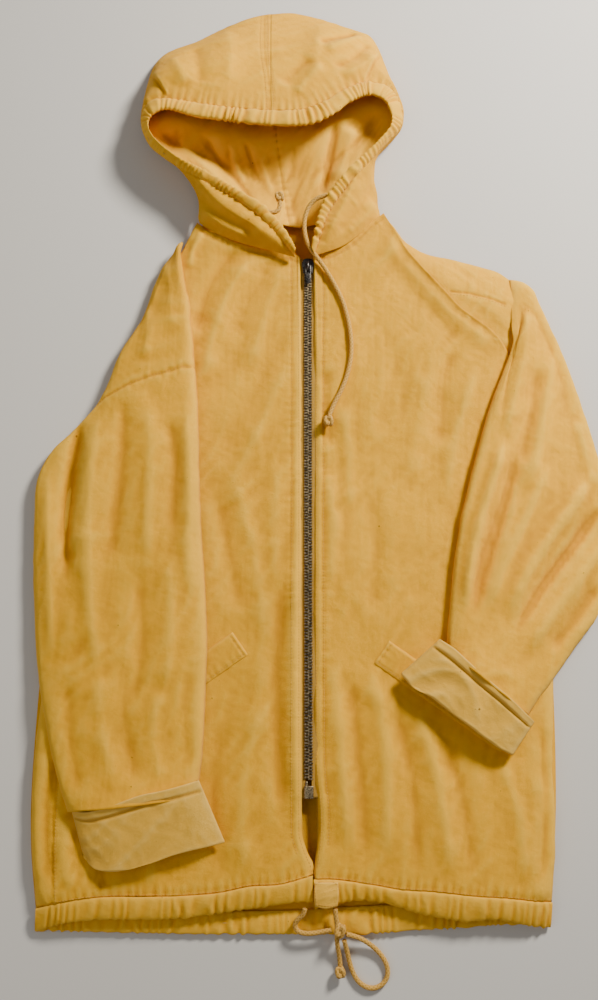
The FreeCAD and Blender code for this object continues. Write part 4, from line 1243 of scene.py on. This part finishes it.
def hem_tab():
    """Stitched tab of cloth that closes the hem over the two cord exits."""
    south = [(-9, -493, 18.5), (2, -495, 19.5), (14, -493, 18.5)]
    north = [(-9, -469, 19), (2, -469, 20), (15, -469, 19)]
    west = [(-9, -493, 18.5), (-10, -481, 20.5), (-9, -469, 19)]
    east = [(14, -493, 18.5), (15.5, -481, 20.5), (15, -469, 19)]
    P = coons(south, north, west, east, 26, 26)
    P[..., 2] += 1.5 + 0.5 * creases(P, 14, 6, 20, 141)
    P[0, :, 2] -= 1.2
    P[-1, :, 2] -= 1.2
    P[:, 0, 2] -= 1.2
    P[:, -1, 2] -= 1.2
    obj = cloth_object("hem_tab_cloth", refine(P), INSIDE, thick=1.0)
    ride_as(obj, "torso", "canvas_inside", "hem_cord_tab")
    return obj


TAB = hem_tab()


# ================================================================ hidden cloth inside
def inner_strip(name, node, x0, x1, y0, y1, level, material, slot):
    """Flat strip inside the jacket, such as a facing or the neck tape."""
    P = coons([(x0, y0, level), (x1, y0, level)], [(x0, y1, level), (x1, y1, level)],
              [(x0, y0, level), (x0, y1, level)], [(x1, y0, level), (x1, y1, level)],
              max(4, int((x1 - x0) / 3)), max(4, int((y1 - y0) / 5)))
    P[..., 2] += 0.3 * creases(P, 60, 15, 85, 151)
    obj = cloth_object(name, P, material, thick=0.8)
    ride_as(obj, "torso", slot, node)
    return obj


inner_strip("facing_right_cloth", "front_facing_right", -62, -25, -466, 198, 13.2, LINING,
            "lining_cotton")
inner_strip("facing_left_cloth", "front_facing_left", -6, 30, -466, 198, 13.2, LINING,
            "lining_cotton")
inner_strip("neck_tape_cloth", "back_neck_tape", -48, 10, 246, 255, 5.6, LINING,
            "lining_cotton")


def pocket_bag(name, node, outline):
    """Closed flat pocket bag hanging inside the front."""
    loop = even(np.array(outline + outline[:1], float), 64)[:-1]
    centre = loop.mean(0)
    rings = []
    for share, level in ((0.02, 14.2), (0.5, 14.3), (0.9, 14.0), (1.0, 13.0), (0.9, 12.0),
                         (0.5, 11.7), (0.02, 11.8)):
        ring = centre + (loop - centre) * share
        rings.append(np.column_stack([ring, np.full(len(ring), level)]))
    P = np.array(rings)
    P[..., 2] += 0.25 * creases(P, 50, 20, 60, 161)
    obj = cloth_object(name, P, LINING, thick=0, wrap=True)
    ride_as(obj, "torso", "lining_cotton", node)
    return obj


pocket_bag("pocket_bag_right_cloth", "pocket_bag_right",
           [(-88, -225), (-72, -330), (-95, -425), (-190, -428), (-238, -350)])
pocket_bag("pocket_bag_left_cloth", "pocket_bag_left",
           [(62, -232), (46, -336), (69, -431), (164, -434), (212, -356)])


# ================================================================ pocket welts
def welt(name, node, corner, along, length, width):
    """Raised folded strip laid over the chest, slanting down to the side."""
    d = np.array(along, float)
    d /= np.linalg.norm(d)
    side = np.array([-d[1], d[0]]) * (-1 if d[0] < 0 else 1)
    rows, cols = 16, int(length / 1.8)
    u = np.linspace(0, length, cols)
    v = np.linspace(0, width, rows)
    plan = (np.array(corner)[None, None] + u[None, :, None] * d[None, None]
            + v[:, None, None] * side[None, None])
    P = np.zeros((rows, cols, 3))
    P[..., :2] = plan
    level = np.array([[height_on(CHEST, x, y, 17.0)[0] for x, y in row] for row in plan])
    P[..., 2] = level
    P = blurred(P, 3)
    P[..., :2] = plan
    a = np.linspace(0, 1, rows)[:, None]
    lift = 1.9 + 0.5 * np.sin(u / 16)[None, :] * a
    P[..., 2] = np.maximum(P[..., 2], level - 0.4) + lift
    P[:2, :, 2] -= np.array([1.5, 0.3])[:, None]
    P[-1:, :, 2] -= 1.1
    P[:, :1, 2] -= 1.2
    P[:, -1:, 2] -= 1.2
    P = refine(P)
    top = [tuple(corner + d * 4 + side * k) for k in (3, width - 3)]
    low = [tuple(np.array(corner) + d * k + side * 3.0) for k in (3, length - 3)]
    P = seam_relief(P, low, depth=0.6, pucker=0.4)
    P = seam_relief(P, top, depth=0.7, pucker=0.4)
    n = normals(P)
    if n[..., 2].mean() < 0:
        P = P[:, ::-1]
        n = normals(P)
    P = P + n * (0.35 * creases(P, 22, 8, 60, 171))[..., None]
    obj = cloth_object(name, P, CANVAS, thick=1.2)
    ride_as(obj, "torso", "canvas", node)
    return obj, d, side


WELT_R, D_R, S_R = welt("welt_right_cloth", "pocket_welt_right", np.array([-79.0, -240.0]),
                        (-0.82, -0.573), 155, 29)
WELT_L, D_L, S_L = welt("welt_left_cloth", "pocket_welt_left", np.array([54.0, -249.0]),
                        (0.82, -0.573), 160, 29)


# ================================================================ zip
def tape(name, node, x0, x1):
    """Woven tape of the zip, with a fine rib along it."""
    P = coons([(x0, ZIP_END, 15.6), (x1, ZIP_END, 15.6)], [(x0, ZIP_TOP, 15.6), (x1, ZIP_TOP, 15.6)],
              [(x0, ZIP_END, 15.6), (x0, ZIP_TOP, 15.6)], [(x1, ZIP_END, 15.6), (x1, ZIP_TOP, 15.6)],
              28, 240)
    P[..., 2] += 0.12 * np.sin(P[..., 0] * TAU / 0.9) + 0.15 * creases(P, 60, 10, 85, 181)
    obj = cloth_object(name, P, TAPE, thick=0.9)
    ride_as(obj, "torso", "zip_tape", node)
    return obj


tape("zip_tape_right_cloth", "zip_tape_right", ZIP_X - 16, ZIP_X - 3.4)
tape("zip_tape_left_cloth", "zip_tape_left", ZIP_X + 3.4, ZIP_X + 16)
TOOTH_PITCH = 3.17
TOOTH_COUNT = 179


def tooth_shape(side):
    """One stamped tooth: legs that clamp the tape, a neck, and a rounded head."""
    section = [(0.95, 4.6), (1.45, 4.3), (1.55, 2.6), (1.15, 1.9), (1.35, 0.6), (1.25, -0.2),
               (0.8, -0.8)]
    profile = [(y, x) for y, x in section] + [(-y, x) for y, x in section[::-1]]
    rings = []
    for z, grow in ((-1.9, 0.72), (-1.55, 0.95), (-0.5, 1.0), (0.5, 1.0), (1.55, 0.95),
                    (1.9, 0.72)):
        rings.append([(x * side * (0.5 + 0.5 * grow) + side * 0.9 * (1 - grow), y * grow * 0.72, z)
                      for y, x in profile])
    verts = [v for ring in rings for v in ring]
    m = len(profile)
    faces = [(r * m + k, r * m + (k + 1) % m, (r + 1) * m + (k + 1) % m, (r + 1) * m + k)
             for r in range(len(rings) - 1) for k in range(m)]
    faces.append(tuple(range(m))[::-1])
    faces.append(tuple((len(rings) - 1) * m + k for k in range(m)))
    if side < 0:
        faces = [f[::-1] for f in faces]
    return np.array(verts), faces


def teeth(name, node, side):
    base, faces = tooth_shape(side)
    first = ZIP_TOP - 6.7 - (TOOTH_PITCH / 2 if side > 0 else 0)
    verts, polys = [], []
    for index in range(TOOTH_COUNT):
        shift = np.array([ZIP_X, first - index * TOOTH_PITCH, 15.6])
        polys += [tuple(k + len(base) * index for k in f) for f in faces]
        verts.append(base + shift)
    obj = mesh_object(name, np.vstack(verts), polys, BRASS, smooth=False)
    return ride_as(obj, "torso", "zip_brass", node)


teeth("teeth_right", "zip_teeth_right", -1)
teeth("teeth_left", "zip_teeth_left", 1)


def rounded_box(name, x0, x1, y0, y1, z0, z1, bevel, material, segments=3):
    verts = [(x, y, z) for z in (z0, z1) for x, y in ((x0, y0), (x1, y0), (x1, y1), (x0, y1))]
    faces = [(3, 2, 1, 0), (4, 5, 6, 7), (0, 1, 5, 4), (1, 2, 6, 5), (2, 3, 7, 6), (3, 0, 4, 7)]
    obj = mesh_object(name, np.array(verts, float), faces, material, smooth=True)
    mod = obj.modifiers.new("edges", "BEVEL")
    mod.width = bevel * MM
    mod.segments = segments
    mod.limit_method = "ANGLE"
    return obj


for label, side in (("right", -1), ("left", 1)):
    inner, outer = ZIP_X + side * 0.6, ZIP_X + side * 3.4
    STOP = rounded_box("top_stop_" + label, min(inner, outer), max(inner, outer), ZIP_TOP - 5.0,
                       ZIP_TOP - 0.5, 13.7, 17.5, 0.7, BRASS)
    ride_as(STOP, "torso", "zip_brass", "zip_top_stop_" + label)
BOX_PIECE = rounded_box("retainer_box", ZIP_X - 4.6, ZIP_X + 5.2, ZIP_END - 0.5, ZIP_END + 12.5, 12.9,
                        18.4, 1.0, BRASS)
ride_as(BOX_PIECE, "torso", "zip_brass", "zip_box")
PIN_PIECE = rounded_box("separating_pin", ZIP_X - 3.4, ZIP_X - 0.8, ZIP_END + 1.5, ZIP_END + 17.0, 14.2,
                        16.9, 0.8, BRASS)
ride_as(PIN_PIECE, "torso", "zip_brass", "zip_pin")


def plate(outline, low, high):
    verts = [(x, y, low) for x, y in outline] + [(x, y, high) for x, y in outline]
    n = len(outline)
    faces = [tuple(range(n))[::-1], tuple(range(n, 2 * n))]
    faces += [(k, (k + 1) % n, (k + 1) % n + n, k + n) for k in range(n)]
    return verts, faces


def slider_body():
    """Two wings and their guide flanges."""
    half = [(0, 204.0), (3.2, 203.6), (5.4, 202.0), (6.6, 199.2), (6.5, 196.0), (5.7, 191.0),
            (5.2, 187.6), (4.4, 186.2), (0, 186.0)]
    outline = [(ZIP_X - x, y) for x, y in half] + [(ZIP_X + x, y) for x, y in half[-2:0:-1]]
    verts, faces = [], []
    for low, high in ((17.9, 19.8), (11.3, 13.1)):
        v, f = plate(outline, low, high)
        faces += [tuple(k + len(verts) for k in face) for face in f]
        verts += v
    for side in (-1, 1):
        x0, x1 = sorted((ZIP_X + side * 4.4, ZIP_X + side * 5.6))
        v, f = plate([(x0, 187), (x1, 187), (x1, 200), (x0, 200)], 16.6, 18.2)
        faces += [tuple(k + len(verts) for k in face) for face in f]
        verts += v
    obj = mesh_object("slider_body", np.array(verts, float), faces, BLACK, smooth=True)
    mod = obj.modifiers.new("edges", "BEVEL")
    mod.width = 0.55 * MM
    mod.segments = 3
    mod.limit_method = "ANGLE"
    return obj


def bail():
    """Low bridge over the slider that the pull's cross bar hangs in."""
    t = np.linspace(0, math.pi, 14)
    line = np.stack([np.full(14, ZIP_X), 194 - 5.2 * np.cos(t), 19.2 + 4.4 * np.sin(t) ** 0.7], 1)
    return braided_tube("slider_bail", line, 1.15, BLACK, step=0.5, around=14, strands=1, pitch=90)


SLIDER = slider_body()
BAIL = bail()
ride_as(SLIDER, "slider", "slider_metal", "zip_slider")
ride_as(BAIL, "slider", "slider_metal")


def pull_tab():
    """Slim pull: a bar through the bail, two arms and a tab with a rounded end."""
    bar = rounded_box("pull_bar", ZIP_X - 3.4, ZIP_X + 3.4, 193.2, 194.8, 20.6, 22.2, 0.6, BLACK)
    arms = [rounded_box("pull_arm_" + label, ZIP_X + s * 2.55 - 0.85, ZIP_X + s * 2.55 + 0.85, 184.5,
                        194.6, 20.55, 22.25, 0.6, BLACK) for label, s in (("r", -1), ("l", 1))]
    half = [(0, 172.9), (1.6, 173.2), (2.8, 174.4), (3.2, 176.2), (3.5, 182.0), (3.5, 186.4),
            (0, 187.0)]
    outline = [(ZIP_X - x, y) for x, y in half] + [(ZIP_X + x, y) for x, y in half[-2:0:-1]]
    verts, faces = plate(outline[::-1], 20.6, 22.2)
    tab = mesh_object("pull_tab", np.array(verts, float), faces, BLACK, smooth=True)
    mod = tab.modifiers.new("edges", "BEVEL")
    mod.width = 0.5 * MM
    mod.segments = 3
    mod.limit_method = "ANGLE"
    return [bar, tab] + arms


for index, piece in enumerate(pull_tab()):
    ride_as(piece, "pull", "slider_metal", *(["zip_pull"] if index == 0 else []))


# ================================================================ stitching
def capsule(length, radius, around=6):
    """One stitch: a short thread that dives into the cloth at both ends."""
    shape = [(-0.5, 0.1, -0.5), (-0.36, 0.9, 0.1), (0, 1.0, 0.35), (0.36, 0.9, 0.1),
             (0.5, 0.1, -0.5)]
    a = np.linspace(0, TAU, around, endpoint=False)
    verts = [(s * length, math.cos(k) * radius * w, math.sin(k) * radius * w + lift * radius)
             for s, w, lift in shape for k in a]
    return np.array(verts), grid_faces(len(shape), around, True)


STITCH, STITCH_FACES = capsule(2.55, 0.36)


def stitches(name, line, targets, body, pitch=3.35, joint=None):
    """Row of thread stitches laid on the cloth along a plan line."""
    pts = resample([(p[0], p[1], 0) for p in line], max(12, int(length_of(np.array(line)[:, :2]))))
    run = length_of(pts)
    marks = even(pts, max(3, int(run / pitch)))
    tangent = np.gradient(marks, axis=0)
    verts, faces, made = [], [], 0
    for p, t in zip(marks, tangent):
        z, n = height_on(targets, p[0], p[1], -1.0)
        if z < 0:
            continue
        x_axis = Vector((t[0], t[1], 0)).normalized()
        x_axis = (x_axis - n * x_axis.dot(n)).normalized()
        y_axis = n.cross(x_axis)
        turn = np.array([x_axis, y_axis, n]).T
        verts.append(STITCH @ turn.T + np.array([p[0], p[1], z]))
        faces.append(STITCH_FACES + made * len(STITCH))
        made += 1
    if not made:
        return None
    obj = mesh_object(name, np.vstack(verts), np.vstack(faces).tolist(), THREAD)
    if joint:
        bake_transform(obj)
    else:
        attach(obj, body)
    return obj


def offset(line, dx=0.0, dy=0.0):
    return [(p[0] + dx, p[1] + dy) for p in line]


T_RIGHT, T_LEFT, T_SHOULDER = CHEST
T_HOOD = [surface(HOOD_R), surface(HOOD_L)]
T_CASING = [surface(HOOD_CASING)]
T_SLEEVE_R = surface(SLEEVE_R)
T_WELTS = [surface(WELT_R), surface(WELT_L)]
T_CUFFS = [surface(CUFF_R), surface(CUFF_L)]
T_HEMS = [surface(HEM_R), surface(HEM_L)]

stitches("thread_zip_right_inner", offset(FRONT_EDGE_R[2:], -11), [T_RIGHT], "torso")
stitches("thread_zip_right_close", offset(FRONT_EDGE_R[1:], -3.2), [T_RIGHT], "torso")
stitches("thread_zip_left_inner", offset(FRONT_EDGE_L[2:], 11), [T_LEFT], "torso")
stitches("thread_zip_left_close", offset(FRONT_EDGE_L[1:], 3.2), [T_LEFT], "torso")
stitches("thread_side_right", offset(SIDE_SEAM_R, 2.5), [T_RIGHT], "torso")
stitches("thread_neck_right", offset(NECK_R[1:], 0, -7), [T_RIGHT], "torso")
stitches("thread_neck_left", offset(NECK_L[:-1], 1, -7), [T_LEFT], "torso")
stitches("thread_hem_right", offset(HEM_STITCH_R[1:], 0, 1.5), CHEST + T_HEMS, "torso")
stitches("thread_hem_left", offset(HEM_STITCH_L[:-1], 0, 1.5), CHEST + T_HEMS, "torso")
stitches("thread_shoulder_left", [(146, 161), (169, 158), (191, 152), (206, 147)], [T_SHOULDER], "torso")
stitches("thread_armhole_right", ARMHOLE_R, [T_SLEEVE_R], "sleeve_right",
         joint=((-0.175, 0.105, 0.03), (-0.215, -0.005, 0.03)))
stitches("thread_crown_right", offset(CENTRE_SEAM, -4), T_HOOD, "hood", joint=(FOLD_START, FOLD_END))
stitches("thread_crown_left", offset(CENTRE_SEAM, 4), T_HOOD, "hood", joint=(FOLD_START, FOLD_END))
stitches("thread_rim", [tuple(p[:2]) for p in RIM[4:-4:6]], T_HOOD + T_CASING, "hood",
         joint=(FOLD_START, FOLD_END))
for label, corner, d, s, length in (("right", (-79, -240), D_R, S_R, 155),
                                    ("left", (54, -249), D_L, S_L, 160)):
    c = np.array(corner, float)
    stitches("thread_welt_low_" + label, [c + d * 3 + s * 3, c + d * (length - 4) + s * 3], T_WELTS,
             "torso")
    stitches("thread_welt_end_" + label, [c + d * 4 + s * 3, c + d * 4 + s * 26], T_WELTS, "torso")
    stitches("thread_welt_far_" + label, [c + d * (length - 5) + s * 3, c + d * (length - 5) + s * 26],
             T_WELTS, "torso")


def toward(top, mouth, share):
    return [tuple(np.array(a[:2]) * (1 - share) + np.array(b[:2]) * share)
            for a, b in zip(resample(top, 24), resample(mouth, 24))]


stitches("thread_cuff_right", toward(CUFF_R_TOP, CUFF_R_MOUTH, 0.15)[1:-1], T_CUFFS, "sleeve_right")
stitches("thread_cuff_left", toward(CUFF_L_TOP, CUFF_L_MOUTH, 0.17)[1:-1], T_CUFFS, "sleeve_left")
stitches("thread_tab", [(-7, -490.5), (13, -490.5), (13.5, -471), (-7.5, -471), (-7, -490.5)],
         [surface(TAB)], "torso", pitch=2.8)


# ================================================================ floor and light
def stage_floor():
    me = bpy.data.meshes.new("floor")
    size = 3.0
    me.from_pydata([(-size, -size, 0), (size, -size, 0), (size, size, 0), (-size, size, 0)], [],
                   [(0, 1, 2, 3)])
    obj = bpy.data.objects.new("floor", me)
    bpy.context.collection.objects.link(obj)
    mat, _, _, shader = principled("pale_floor")
    shader.inputs["Base Color"].default_value = (0.62, 0.60, 0.57, 1)
    shader.inputs["Roughness"].default_value = 0.75
    me.materials.append(mat)


def area_light(name, place, aim, size, power, colour):
    data = bpy.data.lights.new(name, "AREA")
    data.shape = "DISK"
    data.size = size
    data.energy = power
    data.color = colour
    obj = bpy.data.objects.new(name, data)
    bpy.context.collection.objects.link(obj)
    obj.location = place
    direction = Vector(aim) - Vector(place)
    obj.rotation_euler = direction.to_track_quat("-Z", "Y").to_euler()


stage_floor()
area_light("key", (1.0, 1.05, 1.0), (0, 0, 0), 0.4, 64, (1.0, 0.95, 0.85))
area_light("fill", (-1.3, -0.6, 1.5), (0, 0, 0), 1.6, 8, (1.0, 0.97, 0.92))
world = bpy.data.worlds.new("world")
bpy.context.scene.world = world
world.use_nodes = True
world.node_tree.nodes["Background"].inputs["Color"].default_value = (1.0, 0.97, 0.93, 1)
world.node_tree.nodes["Background"].inputs["Strength"].default_value = 0.21
